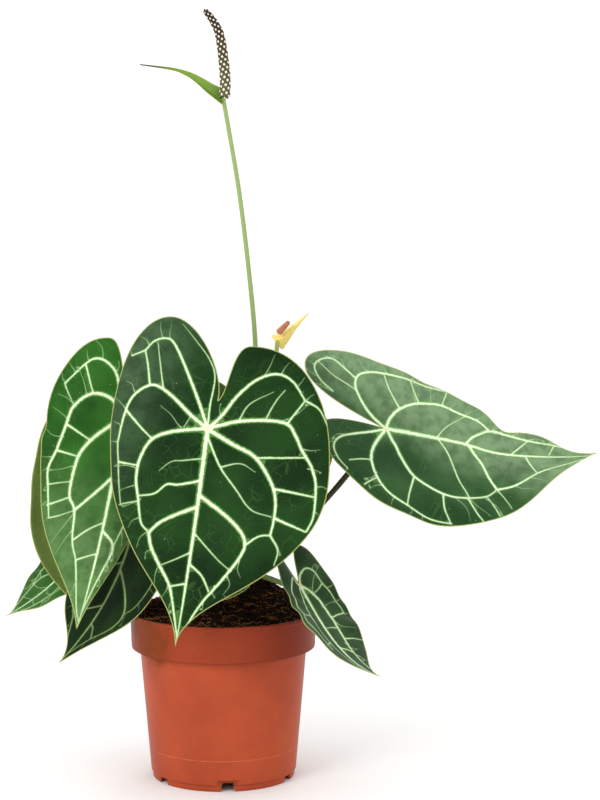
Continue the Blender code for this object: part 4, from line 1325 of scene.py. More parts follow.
    def lay_out(self, mesh: bpy.types.Mesh, flat: np.ndarray, count: int, tops: int) -> None:
        """Lays the upper side, the underside and the rim next to each other on a UV map."""
        low, high = flat.min(axis=0), flat.max(axis=0)
        span = max((high - low)[0] * 2.0 + 8.0, (high - low)[1] + 4.0)
        layer = mesh.uv_layers.new(name="OFBake")
        corner = np.empty(len(mesh.loops), dtype=np.int32)
        mesh.loops.foreach_get("vertex_index", corner)
        side = corner >= count
        spot = flat[corner % count] - low + 1.0
        spot[side, 0] += (high - low)[0] + 4.0
        rim_loops = np.arange(len(corner)) >= 6 * tops
        moved = rim_loops & side
        spot[moved] = flat[corner[moved] - count] - low + 1.0
        outward = flat[corner[moved] - count] - flat.mean(axis=0)
        spot[moved] += 0.7 * outward / np.linalg.norm(outward, axis=1)[:, None]
        layer.data.foreach_set("uv", (spot / span).astype(np.float32).ravel())


class StalkMaker:
    """Sweeps round stalks along their routes."""

    def __init__(self) -> None:
        """Builds the tree that turns a route with a girth into a closed stalk."""
        tree = Growth("stalk_sweep", Sides="Int", Material="Material")
        curve = tree.node("GeometryNodeMeshToCurve", None, {0: tree.ask("Geometry")})
        ring = tree.node("GeometryNodeCurvePrimitiveCircle", {"mode": "RADIUS"},
                         {"Resolution": tree.ask("Sides"), "Radius": 1.0})
        skin = tree.node("GeometryNodeCurveToMesh", None, {
            "Curve": curve.outputs[0], "Profile Curve": ring.outputs[0],
            "Scale": tree.named("girth"), "Fill Caps": True})
        tree.end(tree.signal(skin))
        self.tree = tree

    def sweep(self, name: str, route: np.ndarray, radii: np.ndarray, material: bpy.types.Material,
              sides: int = 14) -> bpy.types.Object:
        """Makes one stalk.

        Args:
            name: The piece's name.
            route: The points it follows.
            radii: Its radius at each of them.
            material: Its finish.
            sides: How many faces go round it.

        Returns:
            The stalk.
        """
        mesh = bpy.data.meshes.new(name + "_route")
        mesh.from_pydata(route.tolist(), [(i, i + 1) for i in range(len(route) - 1)], [])
        keep(mesh, "girth", np.asarray(radii))
        keep(mesh, "along", np.linspace(0.0, 1.0, len(route)))
        return self.tree.grow(name, mesh, Sides=sides, Material=material)


@dataclass
class Crown:
    """The short stem that carries every stalk, and the dry sheaths round it."""

    top: float
    radius: float = 0.0110
    depth: float = 0.028
    sheaths: tuple[tuple[float, float, float, float], ...] = (
        (28.0, 20.0, 0.026, 0.0026), (54.0, 20.0, 0.022, 0.0024),
        (304.0, 62.0, 0.024, 0.0020))   # turn, climb, height and half width
    sheath_thickness: float = 0.0006
    bark: BarkFinish = BarkFinish("crown_bark", shade(126, 104, 62), shade(70, 52, 32))
    paper: BarkFinish = BarkFinish("sheath_paper", shade(168, 128, 84), shade(108, 72, 42), 1.8)

    def seat(self, turn: float, climb: float) -> tuple[np.ndarray, np.ndarray]:
        """A point just off the crown's dome and the direction straight out of it there."""
        turn, climb = math.radians(turn), math.radians(climb)
        way = np.array([math.cos(turn) * math.cos(climb), math.sin(turn) * math.cos(climb),
                        math.sin(climb)])
        centre = np.array([0.0, 0.0, self.top - self.radius])
        return centre + (self.radius + GAP) * way, way

    def stem(self) -> bpy.types.Object:
        """Makes the stem with its leaf scars."""
        centre = self.top - self.radius
        profile = [(0.0, self.top)]
        for climb in range(80, -1, -10):
            angle = math.radians(climb)
            profile.append((self.radius * math.cos(angle), centre + self.radius * math.sin(angle)))
        steps = 10
        for k in range(1, steps + 1):
            profile.append((self.radius * (1.0 - 0.02 * k), centre - (self.depth - self.radius) * k / steps))
        profile.append((0.0, self.top - self.depth))

        def scar(turn: float, radius: float, z: float) -> Point:
            """Rings the stem with low ridges and lumps."""
            dent = (0.0003 * math.sin((z - centre) * 2600.0 + turn)
                    - 0.0004 * abs(noise.noise(Vector((3 * math.cos(turn), 3 * math.sin(turn), z * 400.0)))))
            r = radius + dent * min(1.0, radius / 0.003)
            return (r * math.cos(turn), r * math.sin(turn), z)

        stem = mesh_of("crown_stem", *lathe(profile, 48, scar))
        piece = add_piece("crown_stem", stem, self.bark.material())
        declare(piece, "crown", "crown")
        return piece

    def sheath(self, index: int, paper: bpy.types.Material) -> bpy.types.Object:
        """Makes one of the thin dry sheaths that stand at the crown."""
        turn, climb, height, half_width = self.sheaths[index]
        seat, way = self.seat(turn, climb)
        flat_way = np.array([way[0], way[1], 0.0])
        side = (-math.sin(math.radians(turn)), math.cos(math.radians(turn)), 0.0)
        seat = seat + way * self.sheath_thickness
        up = np.array([0.0, 0.0, height])
        route = smooth_route([seat, seat + 0.20 * up + 0.003 * way,
                              seat + 0.55 * up + 0.30 * height * flat_way,
                              seat + up + 0.42 * height * flat_way], 24)
        share = np.linspace(0.0, 1.0, len(route))
        widths = half_width * (0.55 + 0.75 * np.sin(math.pi * share ** 0.8) - 0.25 * share)
        widths *= 1.0 - 0.10 * np.sin(share * 40.0) ** 2
        name = f"sheath_{index + 1}"
        band = Band(route, side, widths, self.sheath_thickness * 0.6, 0.35 + 0.15 * np.sin(share * 9.0))
        piece = add_piece(name, band.mesh(name), paper)
        declare(piece, "scale", f"crown_scale_{index + 1}")
        return piece


@dataclass
class Band:
    """A thin closed band along a route, hollow on its upper side."""

    route: np.ndarray
    hint: Sequence[float]
    half_widths: np.ndarray
    thickness: float
    cup: np.ndarray | float
    columns: int = 14
    root_wrap: float = 0.0      # how far round its stalk the root closes, in radians

    def mesh(self, name: str) -> bpy.types.Mesh:
        """Builds the band with how far along and across each point is."""
        sides, normals = frames_along(self.route, self.hint)
        share = np.linspace(0.0, 1.0, len(self.route))
        cup = np.broadcast_to(self.cup, share.shape)
        across = np.linspace(-1.0, 1.0, self.columns + 1)
        upper, lower = [], []
        for centre, side, normal, width, hollow, t in zip(self.route, sides, normals,
                                                         self.half_widths, cup, share):
            for s in across:
                wrap = self.root_wrap * math.exp(-(t / 0.10) ** 2)
                flat = side * (width * s) + normal * (hollow * width * abs(s) ** 1.6)
                turn = s * wrap
                round_radius = width / max(wrap, 1e-3)
                curled = (side * (round_radius * math.sin(turn))
                          + normal * (round_radius * (1 - math.cos(turn))))
                blend = min(1.0, wrap / 0.6)
                top = centre + flat * (1 - blend) + curled * blend
                upper.append(top)
                lower.append(top - normal * self.thickness * (1.0 - 0.45 * s * s))
        count, wide = len(self.route), self.columns + 1
        shift = count * wide
        faces = sheet_faces(count, wide)
        faces += [tuple(corner + shift for corner in (a, d, c, b)) for a, b, c, d in faces]
        edges = [(a, a + wide) for a in range(0, shift - wide, wide)]
        edges += [(a + self.columns, b + self.columns) for a, b in edges]
        edges += [(a, a + 1) for row in (0, shift - wide) for a in range(row, row + self.columns)]
        faces += [(a, b, b + shift, a + shift) for a, b in edges]
        mesh = bpy.data.meshes.new(name)
        mesh.from_pydata([tuple(p) for p in upper + lower], [], faces)
        keep(mesh, "along", np.tile(np.repeat(share, wide), 2))
        keep(mesh, "across", np.tile(np.tile(across, count), 2))
        built = bmesh.new()
        built.from_mesh(mesh)
        bmesh.ops.recalc_face_normals(built, faces=built.faces)
        built.to_mesh(mesh)
        built.free()
        return mesh


# ---------------------------------------------------------------- flower spikes
@dataclass
class Spike:
    """One inflorescence: its stalk, its spathe and its spike of small flowers."""

    name: str
    turn: float
    climb: float
    stalk_points: tuple[Point, ...]
    spathe_points: tuple[Point, ...]
    spathe_hint: Point
    spathe_width: Callable[[np.ndarray], np.ndarray]
    spathe_cup: float
    spathe_slot: str
    spathe_wrap: float
    spike_points: tuple[Point, ...]
    spike_radius: float
    spike_tip: float
    spike_slot: str
    flowers: int
    stalk_finish: StemFinish
    spathe_finish: SpatheFinish
    spike_finish: SpikeFinish
    stalk_radii: tuple[float, float] = (0.0017, 0.0013)
    flower_size: float = 0.34   # in spike radii

    def build(self, crown: Crown, stalks: StalkMaker, flowers: "FlowerMaker") -> None:
        """Makes the three pieces.

        Args:
            crown: What the stalk grows from.
            stalks: Sweeps the stalk.
            flowers: Sets the small flowers on the spike.
        """
        seat, way = crown.seat(self.turn, self.climb)
        route = smooth_route([seat, seat + 0.010 * way, *self.stalk_points], 90)
        radii = np.linspace(*self.stalk_radii, len(route))
        stem = stalks.sweep(f"flower_stem_{self.name}", route, radii, self.stalk_finish.material())
        declare(stem, "flower_stalk", f"flower_stalk_{self.name}")
        route = smooth_route(self.spathe_points, 60)
        share = np.linspace(0.0, 1.0, len(route))
        name = f"spathe_blade_{self.name}"
        band = Band(route, self.spathe_hint, self.spathe_width(share), 0.0006,
                    self.spathe_cup * (1.0 + 0.6 * np.sin(math.pi * share)), 18, self.spathe_wrap)
        spathe = add_piece(name, band.mesh(name), self.spathe_finish.material())
        declare(spathe, self.spathe_slot, f"spathe_{self.name}")
        spike = flowers.dress(self)
        declare(spike, self.spike_slot, f"spadix_{self.name}")


class FlowerMaker:
    """Sets small flowers in spiral rows on a flower spike."""

    GOLDEN_TURN = math.tau * (1.0 - (math.sqrt(5.0) - 1.0) / 2.0)

    def __init__(self) -> None:
        """Builds the tree: a tapering body and one flower at each step of the spiral."""
        tree = Growth("spike_flowers", Floret="Object", Count="Int", Turn="Float", Size="Float",
                      Material="Material")
        curve = tree.signal(tree.node("GeometryNodeMeshToCurve", None, {0: tree.ask("Geometry")}))
        girth = tree.named("girth")
        ring = tree.node("GeometryNodeCurvePrimitiveCircle", {"mode": "RADIUS"},
                         {"Resolution": 24, "Radius": 1.0})
        body = tree.signal(tree.node("GeometryNodeCurveToMesh", None, {
            "Curve": curve, "Profile Curve": ring.outputs[0], "Scale": girth, "Fill Caps": True}))
        dots = tree.signal(tree.node("GeometryNodePoints", None, {"Count": tree.ask("Count")}))
        index = tree.signal(tree.node("GeometryNodeInputIndex"))
        share = (index + 0.7) / (tree.ask("Count") + 0.6)
        read = tree.node("GeometryNodeSampleCurve", {"mode": "FACTOR", "data_type": "FLOAT"},
                         {"Curves": curve, "Value": girth, "Factor": share})
        radius = tree.signal(read, "Value")
        axis = tree.signal(read, "Tangent")
        way = tree.signal(tree.node("ShaderNodeVectorRotate", {"rotation_type": "AXIS_ANGLE"}, {
            "Vector": tree.signal(read, "Normal"), "Axis": axis, "Angle": index * tree.ask("Turn")}))
        out = tree.signal(tree.node("ShaderNodeVectorMath", {"operation": "SCALE"},
                                    {"Vector": way, "Scale": radius * 0.97}))
        spot = tree.signal(tree.node("ShaderNodeVectorMath", {"operation": "ADD"},
                                     {0: tree.signal(read, "Position"), 1: out}))
        placed = tree.node("GeometryNodeSetPosition", None, {"Geometry": dots, "Position": spot})
        facing = tree.signal(tree.node("FunctionNodeAlignRotationToVector", {"axis": "Z"},
                                       {"Vector": way}))
        turned = tree.signal(tree.node("FunctionNodeAlignRotationToVector",
                                       {"axis": "Y", "pivot_axis": "Z"},
                                       {"Rotation": facing, "Vector": axis}))
        floret = tree.node("GeometryNodeObjectInfo", None, {"Object": tree.ask("Floret")})
        size = radius * tree.ask("Size")
        marked = tree.node("GeometryNodeStoreNamedAttribute",
                           {"data_type": "FLOAT", "domain": "POINT"},
                           {"Geometry": placed.outputs[0], "Name": "along", "Value": share})
        many = tree.signal(tree.node("GeometryNodeInstanceOnPoints", None, {
            "Points": marked.outputs[0], "Instance": floret.outputs["Geometry"],
            "Rotation": turned, "Scale": size}))
        tree.end(tree.join(body, many))
        self.tree = tree

    def floret(self) -> bpy.types.Object:
        """Makes one flower: a four-sided cushion with a pale button on it, one unit across."""
        points, marks = [], []
        sides = 8
        rings = ((1.00, -0.10, 0.0), (0.86, 0.16, 0.0), (0.64, 0.24, 0.0), (0.52, 0.30, 1.0),
                 (0.28, 0.46, 1.0))
        for radius, height, mark in rings:
            for k in range(sides):
                turn = math.tau * k / sides
                square = 1.0 / (abs(math.cos(turn)) + abs(math.sin(turn))) if mark == 0.0 else 1.0
                points.append((radius * math.cos(turn) * square * 1.15,
                               radius * math.sin(turn) * square * 1.3, height))
                marks.append(mark)
        points.append((0.0, 0.0, 0.50))
        marks.append(1.0)
        faces = sheet_faces(len(rings), sides, closed=True)
        top = (len(rings) - 1) * sides
        faces += [(top + k, top + (k + 1) % sides, len(points) - 1) for k in range(sides)]
        mesh = bpy.data.meshes.new("floret")
        mesh.from_pydata(points, [], faces)
        keep(mesh, "stigma", np.array(marks))
        return bpy.data.objects.new("floret", mesh)

    def dress(self, spike: Spike) -> bpy.types.Object:
        """Makes the spike of an inflorescence.

        Args:
            spike: The inflorescence.

        Returns:
            The spike with its flowers.
        """
        route = smooth_route(spike.spike_points, 70)
        share = np.linspace(0.0, 1.0, len(route))
        radii = (spike.spike_radius + (spike.spike_tip - spike.spike_radius) * share ** 2.2) * 0.86
        root = np.sqrt(np.clip(share / 0.02, 0.35, 1.0))
        radii *= root * np.sqrt(np.clip((1.0 - share) / 0.045, 0.02, 1.0))
        mesh = bpy.data.meshes.new("spike_route")
        mesh.from_pydata(route.tolist(), [(i, i + 1) for i in range(len(route) - 1)], [])
        keep(mesh, "girth", radii)
        keep(mesh, "along", share)
        floret = self.floret()
        piece = self.tree.grow(f"spike_{spike.name}", mesh, Floret=floret, Count=spike.flowers,
                               Turn=self.GOLDEN_TURN, Size=spike.flower_size,
                               Material=spike.spike_finish.material())
        bpy.data.objects.remove(floret, do_unlink=True)
        return piece


# ---------------------------------------------------------------- pot and mix
@dataclass
class Pot:
    """Moulded nursery pot with a banded rim and a castellated foot ring."""

    rim_radius: float
    height: float
    band_height: float = 0.0233
    band_taper: float = 0.0013
    bead: float = 0.0025
    shoulder: float = 0.0055
    body_taper: float = 0.0066
    wall: float = 0.0014
    foot_height: float = 0.0042
    foot_inset: float = 0.0012
    foot_wall: float = 0.0016
    floor_z: float = 0.0050
    floor_thickness: float = 0.0016
    boss_radius: float = 0.0120
    sides: int = 144
    gaps: int = 6
    gap_width: float = 0.0076
    gap_turn: float = -85.0
    scallop_width: float = 0.0190
    scallop_height: float = 0.0034
    hole_radius: float = 0.0030
    hole_ring: float = 0.0300
    finish: PotFinish = PotFinish("pot_plastic")

    def radii(self) -> tuple[float, float, float, float]:
        """Outer radii of the band's lower edge, the body at both ends, and the foot ring."""
        band_low = self.rim_radius - self.band_taper
        body_top = band_low - self.shoulder
        body_low = body_top - self.body_taper
        return band_low, body_top, body_low, body_low - self.foot_inset

    def profile(self) -> list[tuple[float, float]]:
        """The pot's section from the middle of its inner floor, over the rim and to its boss."""
        band_low, body_top, body_low, foot = self.radii()
        rim, top, wall, soft = self.rim_radius, self.height, self.wall, 0.0006
        band_z = top - self.band_height
        floor_top = self.floor_z + self.floor_thickness
        lip = [(rim - 0.0006 + 0.0006 * math.sin(a), top - 0.0006 + 0.0006 * math.cos(a))
               for a in np.linspace(0.0, math.pi / 2, 5)]
        corner = [(body_top + soft - soft * math.sin(a), band_z - soft + soft * math.cos(a))
                  for a in np.linspace(0.0, math.pi / 2, 5)]
        inner = [(0.0, floor_top), (body_low - wall - 0.002, floor_top),
                 (body_low - wall, floor_top + 0.002), (body_top - wall, band_z + wall - soft),
                 (body_top - wall + soft, band_z + wall), (band_low - wall - soft, band_z + wall),
                 (band_low - wall, band_z + wall + soft), (rim - wall, top - soft),
                 (rim - wall + 0.0003, top)]
        outer = [*lip, (rim, top - self.bead + 0.0004), (rim - 0.0002, top - self.bead),
                 (rim - soft, top - self.bead - 0.0003), (rim - soft - 0.0001, top - self.bead - soft),
                 (band_low, band_z + soft + 0.0004), (band_low - 0.0002, band_z + 0.0003),
                 (band_low - soft, band_z), *corner]
        steps = np.linspace(0.0, 1.0, 12)[1:-1]
        low_z = self.foot_height + 0.0026
        outer += [(body_top + (body_low - body_top) * s, band_z - soft + (low_z - band_z + soft) * s)
                  for s in steps]
        outer += [(body_low, low_z), (body_low - 0.0001, low_z - 0.0009),
                  (body_low - 0.0002, self.foot_height + 0.0004), (body_low - 0.0004, self.foot_height)]
        under = [(foot, self.foot_height - 0.0001), (foot - 0.0001, 0.0005), (foot - 0.0005, 0.0),
                 (foot - self.foot_wall, 0.0), (foot - self.foot_wall - 0.0002, self.floor_z),
                 (self.boss_radius + 0.0006, self.floor_z), (self.boss_radius, 0.0), (0.0, 0.0)]
        return inner + outer + under

    def block(self, built: bmesh.types.BMesh, turn: float, reach: tuple[float, float],
              level: tuple[float, float], widths: tuple[float, float]) -> None:
        """Adds a closed block that lies along a radius and narrows towards its top."""
        turn = math.radians(turn)
        out = np.array([math.cos(turn), math.sin(turn), 0.0])
        side = np.array([-out[1], out[0], 0.0])
        corners = []
        for z, width in zip(level, widths):
            for radius, sign in ((reach[0], -1), (reach[1], -1), (reach[1], 1), (reach[0], 1)):
                place = out * radius + side * (sign * width / 2) + np.array([0, 0, z])
                corners.append(built.verts.new(place))
        for face in ((3, 2, 1, 0), (4, 5, 6, 7), (0, 1, 5, 4), (1, 2, 6, 5), (2, 3, 7, 6), (3, 0, 4, 7)):
            built.faces.new([corners[i] for i in face])

    def cut(self, pot: bpy.types.Object, built: bmesh.types.BMesh) -> None:
        """Subtracts a mesh of blocks from the pot for good."""
        bmesh.ops.recalc_face_normals(built, faces=built.faces)
        mesh = bpy.data.meshes.new("pot_cutter")
        built.to_mesh(mesh)
        built.free()
        cutter = bpy.data.objects.new("pot_cutter", mesh)
        bpy.context.scene.collection.objects.link(cutter)
        modifier = pot.modifiers.new("cut", "BOOLEAN")
        modifier.operation = "DIFFERENCE"
        modifier.solver = "EXACT"
        modifier.object = cutter
        ready = pot.evaluated_get(bpy.context.evaluated_depsgraph_get())
        result = bpy.data.meshes.new_from_object(ready)
        pot.modifiers.remove(modifier)
        pot.data = result
        bpy.data.objects.remove(cutter, do_unlink=True)

    def build(self) -> bpy.types.Object:
        """Makes the pot with the gaps in its foot ring and its drain holes."""
        _, _, body_low, foot = self.radii()
        mesh = mesh_of("pot_moulding", *lathe(self.profile(), self.sides))
        stain_at = (-47.0, -37.0, 95.0)
        pot = add_piece("pot_moulding", mesh, self.finish.material(stain_at, body_low / MM))
        gaps, scallops = bmesh.new(), bmesh.new()
        for index in range(self.gaps):
            turn = self.gap_turn + 360.0 * index / self.gaps
            taller = self.scallop_height * 0.55 if index % 2 == 0 else 0.0
            self.block(gaps, turn, (foot - 2 * self.foot_wall, foot + 0.0006),
                       (-0.002, self.foot_height - 0.0002 + taller),
                       (self.gap_width * 1.35, self.gap_width * 0.85))
            hole = bmesh.ops.create_cone(gaps, cap_ends=True, segments=24, radius1=self.hole_radius,
                                         radius2=self.hole_radius, depth=3 * self.floor_thickness)
            middle = math.radians(turn + 180.0 / self.gaps)
            bmesh.ops.translate(gaps, verts=hole["verts"], vec=(
                self.hole_ring * math.cos(middle), self.hole_ring * math.sin(middle),
                self.floor_z + self.floor_thickness / 2))
            if index % 2 == 0:
                self.block(scallops, turn, (foot + 0.0001, body_low + 0.002),
                           (self.foot_height - 0.001, self.foot_height + self.scallop_height),
                           (self.scallop_width, self.scallop_width * 0.7))
        self.cut(pot, gaps)
        self.cut(pot, scallops)
        pot.data.shade_smooth()
        pot.data.set_sharp_from_angle(angle=math.radians(38.0))
        declare(pot, "pot", "pot")
        return pot


@dataclass(frozen=True)
class Strewing:
    """How one kind of grain is strewn over a surface."""

    name: str
    density: float              # grains on a square metre
    seed: int
    smallest: Point
    largest: Point
    tilt: float                 # greatest lean, in radians
    keep: bool = False          # whether the surface itself stays


@dataclass
class Mix:
    """The heaped potting mix with its crumbs and threads."""

    pot: Pot
    edge_drop: float = 0.0035
    heap: float = 0.0175
    lump: float = 0.0012
    mound: tuple[float, float, float, float] = (0.028, 0.010, 0.015, 0.0105)   # x, y, reach, height
    crumbs: Strewing = Strewing("mix_heap", 420000.0, 4, (0.0007, 0.0007, 0.0006),
                                (0.0034, 0.0026, 0.0022), 3.0, keep=True)
    coir: Strewing = Strewing("mix_threads", 60000.0, 9, (0.004, 0.004, 0.003),
                              (0.014, 0.012, 0.010), 0.35)
    spill: Strewing = Strewing("rim_crumbs", 300000.0, 21, (0.0004, 0.0004, 0.0004),
                               (0.0024, 0.0019, 0.0016), 3.0)
    finish: MixFinish = MixFinish("potting_mix_crumb")
    threads: FibreFinish = FibreFinish("mix_threads")

    def edge(self) -> float:
        """Height at which the mix meets the pot's wall."""
        return self.pot.height - self.edge_drop

    def height(self, radius: float, turn: float) -> float:
        """Height of the heap: highest behind the middle, lowest at the viewer's side."""
        share = min(radius / (self.pot.rim_radius - self.pot.wall), 1.0)
        lean = 0.74 + 0.26 * math.sin(turn)
        lumps = math.sin(5 * turn + 190 * radius) * math.sin(3 * turn - 260 * radius + 1.1)
        crest = 1.0 - share ** 1.7
        x, y = radius * math.cos(turn), radius * math.sin(turn)
        fine = noise.fractal(Vector((x, y, 0.3)) * 260.0, 0.8, 2.1, 3) * 0.0011
        away = math.hypot(x - self.mound[0], y - self.mound[1]) / self.mound[2]
        mound = self.mound[3] * math.exp(-away * away)
        return (self.edge() + self.heap * crest * (lean + (1 - lean) * (1 - share) ** 2) + mound
                + (self.lump * lumps + fine) * min(1.0, 6 * (1 - share)) * min(1.0, 3 * share))

    def body(self) -> bpy.types.Mesh:
        """The heap as a closed mesh that fills the pot."""
        band_low, body_top, body_low, _ = self.pot.radii()
        wall = self.pot.wall + GAP
        band_z = self.pot.height - self.pot.band_height
        floor_top = self.pot.floor_z + self.pot.floor_thickness + GAP
        outer = band_low - wall - 0.0008
        rings = [(0.0015 + (outer - 0.0015) * k / 46, None) for k in range(47)]
        side = [(outer, self.edge() - 0.0010), (outer, band_z + wall + 0.0006),
                (body_top - wall, band_z + wall), (body_top - wall, band_z - 0.0010),
                (body_low - wall - 0.0003, floor_top + 0.0026), (body_low - wall - 0.0024, floor_top)]

        def place(turn: float, radius: float, z: float | None) -> Point:
            """Puts a ring's point on the heap, or leaves it where its height is given."""
            level = self.height(radius, turn) if z is None else z
            return (radius * math.cos(turn), radius * math.sin(turn), level)

        profile = [(0.0, self.height(0.0, 0.0)), *rings, *side, (0.0, floor_top)]
        return mesh_of("mix_heap", *lathe(profile, 120, place))

    def scatter_tree(self, name: str) -> Growth:
        """Builds the tree that strews one kind of grain over the top of a heap."""
        tree = Growth(name, Grain="Object", Density="Float", Seed="Int", Smallest="Vector",
                      Largest="Vector", Tilt="Float", Keep="Bool", Material="Material")
        up = tree.signal(tree.node("ShaderNodeSeparateXYZ", None,
                                   {0: tree.signal(tree.node("GeometryNodeInputNormal"))}), "Z")
        spread = tree.node("GeometryNodeDistributePointsOnFaces", {"distribute_method": "RANDOM"}, {
            "Mesh": tree.ask("Geometry"), "Selection": up.above(0.45),
            "Density": tree.ask("Density"), "Seed": tree.ask("Seed")})
        tilt = tree.ask("Tilt")
        low = tree.node("ShaderNodeCombineXYZ", None, {"X": 0.0 - tilt, "Y": 0.0 - tilt, "Z": 0.0})
        high = tree.node("ShaderNodeCombineXYZ", None, {"X": tilt, "Y": tilt, "Z": math.tau})
        turn = tree.node("FunctionNodeRandomValue", {"data_type": "FLOAT_VECTOR"},
                         {0: low.outputs[0], 1: high.outputs[0], "Seed": tree.ask("Seed")})
        size = tree.node("FunctionNodeRandomValue", {"data_type": "FLOAT_VECTOR"},
                         {0: tree.ask("Smallest"), 1: tree.ask("Largest"), "Seed": 7})
        grain = tree.node("GeometryNodeObjectInfo", None, {"Object": tree.ask("Grain")})
        many = tree.node("GeometryNodeInstanceOnPoints", None, {
            "Points": spread.outputs["Points"], "Instance": grain.outputs["Geometry"],
            "Rotation": turn.outputs[0], "Scale": size.outputs[0]})
        base = tree.node("GeometryNodeSwitch", {"input_type": "GEOMETRY"},
                         {"Switch": tree.ask("Keep"), "True": tree.ask("Geometry")})
        tree.end(tree.join(tree.signal(base), tree.signal(many)))
        return tree

    def crumb(self) -> bpy.types.Object:
        """One rough crumb, a unit across."""
        built = bmesh.new()
        bmesh.ops.create_icosphere(built, subdivisions=1, radius=0.5)
        chance = np.random.default_rng(11)
        for corner in built.verts:
            corner.co *= float(chance.uniform(0.65, 1.3))
        mesh = bpy.data.meshes.new("crumb")
        built.to_mesh(mesh)
        built.free()
        return bpy.data.objects.new("crumb", mesh)

    def thread(self) -> bpy.types.Object:
        """One curled thread, a unit long."""
        route = smooth_route([(-0.5, 0.02, 0.0), (-0.22, 0.12, 0.10), (0.05, 0.0, 0.04),
                              (0.26, -0.14, 0.14), (0.5, -0.04, 0.02)], 9)
        sides, normals = frames_along(route, (0.0, 0.3, 1.0))
        points, corners = [], 4
        for k, (centre, side, normal) in enumerate(zip(route, sides, normals)):
            radius = 0.028 * (1.0 - 0.6 * abs(k / 9 - 0.4))
            for j in range(corners):
                turn = math.tau * j / corners
                points.append(tuple(centre + radius * (side * math.cos(turn) + normal * math.sin(turn))))
        faces = sheet_faces(len(route), corners, closed=True)
        faces.append(tuple(reversed(range(corners))))
        faces.append(tuple(range(len(points) - corners, len(points))))
        return bpy.data.objects.new("thread", mesh_of("thread", points, faces))

    def rim_ring(self) -> bpy.types.Mesh:
        """The sloping ring beside the pot's rim on which spilt crumbs lie."""
        sides = 90
        inner = self.pot.rim_radius - self.pot.wall
        section = [(inner - 0.0025, self.edge() + 0.0022), (inner + 0.0010, self.pot.height + 0.0001)]
        points = [(r * math.cos(math.tau * k / sides), r * math.sin(math.tau * k / sides), z)
                  for r, z in section for k in range(sides)]
        faces = [(k, k + sides, sides + (k + 1) % sides, (k + 1) % sides) for k in range(sides)]
        ring = bpy.data.meshes.new("rim_ring")
        ring.from_pydata(points, [], faces)
        return ring

    def strew(self, tree: Growth, how: Strewing, surface: bpy.types.Mesh, grain: bpy.types.Object,
              material: bpy.types.Material) -> bpy.types.Object:
        """Strews grains over a surface.

        Args:
            tree: What strews them.
            how: Their number, sizes and lean.
            surface: What they lie on.
            grain: One grain, a unit across.
            material: Their finish.

        Returns:
            The strewn grains as one piece.
        """
        return tree.grow(how.name, surface, Grain=grain, Density=how.density, Seed=how.seed,
                         Smallest=how.smallest, Largest=how.largest, Tilt=how.tilt, Keep=how.keep,
                         Material=material)

    def build(self) -> None:
        """Makes the heap with its crumbs, the threads on it and the crumbs on the pot's rim."""
        tree = self.scatter_tree("strewn_grains")
        crumb, thread = self.crumb(), self.thread()
        mix, fibre = self.finish.material(), self.threads.material()
        declare(self.strew(tree, self.crumbs, self.body(), crumb, mix), "potting_mix", "potting_mix")
        declare(self.strew(tree, self.coir, self.body(), thread, fibre), "potting_mix")
        declare(self.strew(tree, self.spill, self.rim_ring(), crumb, mix), "potting_mix")
        for grain in (crumb, thread):
            bpy.data.objects.remove(grain, do_unlink=True)


# ---------------------------------------------------------------- the plant
PALE = StemFinish("stalk_pale", shade(104, 118, 66), shade(134, 150, 94), shade(150, 146, 80))
GREEN = StemFinish("stalk_green", shade(78, 92, 44), shade(100, 122, 66), shade(132, 140, 78))
BROWN = StemFinish("stalk_brown", shade(64, 54, 28), shade(66, 66, 34), shade(104, 112, 62))
FLOWER_GREEN = StemFinish("flower_stalk_green", shade(108, 132, 68), shade(140, 164, 96),
                          shade(128, 160, 84), shade(84, 104, 54))
FLOWER_PALE = StemFinish("flower_stalk_pale", shade(118, 140, 66), shade(164, 170, 96),
                         shade(176, 176, 96), shade(130, 130, 70))

FRONT_SKIN = LeafFinish("velvet_front", shade(10, 36, 10), shade(28, 64, 22),
                        painted_sheen=PaintedSheen((0.9, -0.4), 10.0, 70.0, 0.38, shade(96, 122, 92)))
LEFT_SKIN = LeafFinish("velvet_left", shade(22, 64, 14), shade(46, 102, 32),
                       painted_sheen=PaintedSheen((0.2, 1.0), 20.0, 100.0, 0.80, shade(98, 132, 80)))
# Painted shade: a darker copy of the velvet skin, with dimmer veins, for the low left blade that hangs in
# the shadow of the blades in front.
SHADED_SKIN = LeafFinish("velvet_shaded", shade(10, 26, 8), shade(24, 50, 18),
                         core=shade(140, 160, 104), halo=shade(64, 96, 46), vein_strength=0.9)
OLIVE_SKIN = LeafFinish("velvet_olive", shade(20, 50, 14), shade(42, 76, 28),
                        under=shade(98, 120, 58))
RIGHT_SKIN = LeafFinish("velvet_right", shade(22, 58, 22), shade(52, 90, 46), shine=0.12,
                        painted_sheen=PaintedSheen((-1.0, 0.30), -16.0, 26.0, 0.72, shade(132, 160, 120)))
LOW_RIGHT_SKIN = LeafFinish("velvet_low_right", shade(24, 48, 24), shade(60, 84, 52), shine=0.10)
YOUNG_SKIN = LeafFinish("velvet_young", shade(28, 54, 32), shade(50, 76, 50), tip_brown=0.6,
                        vein_strength=0.5)

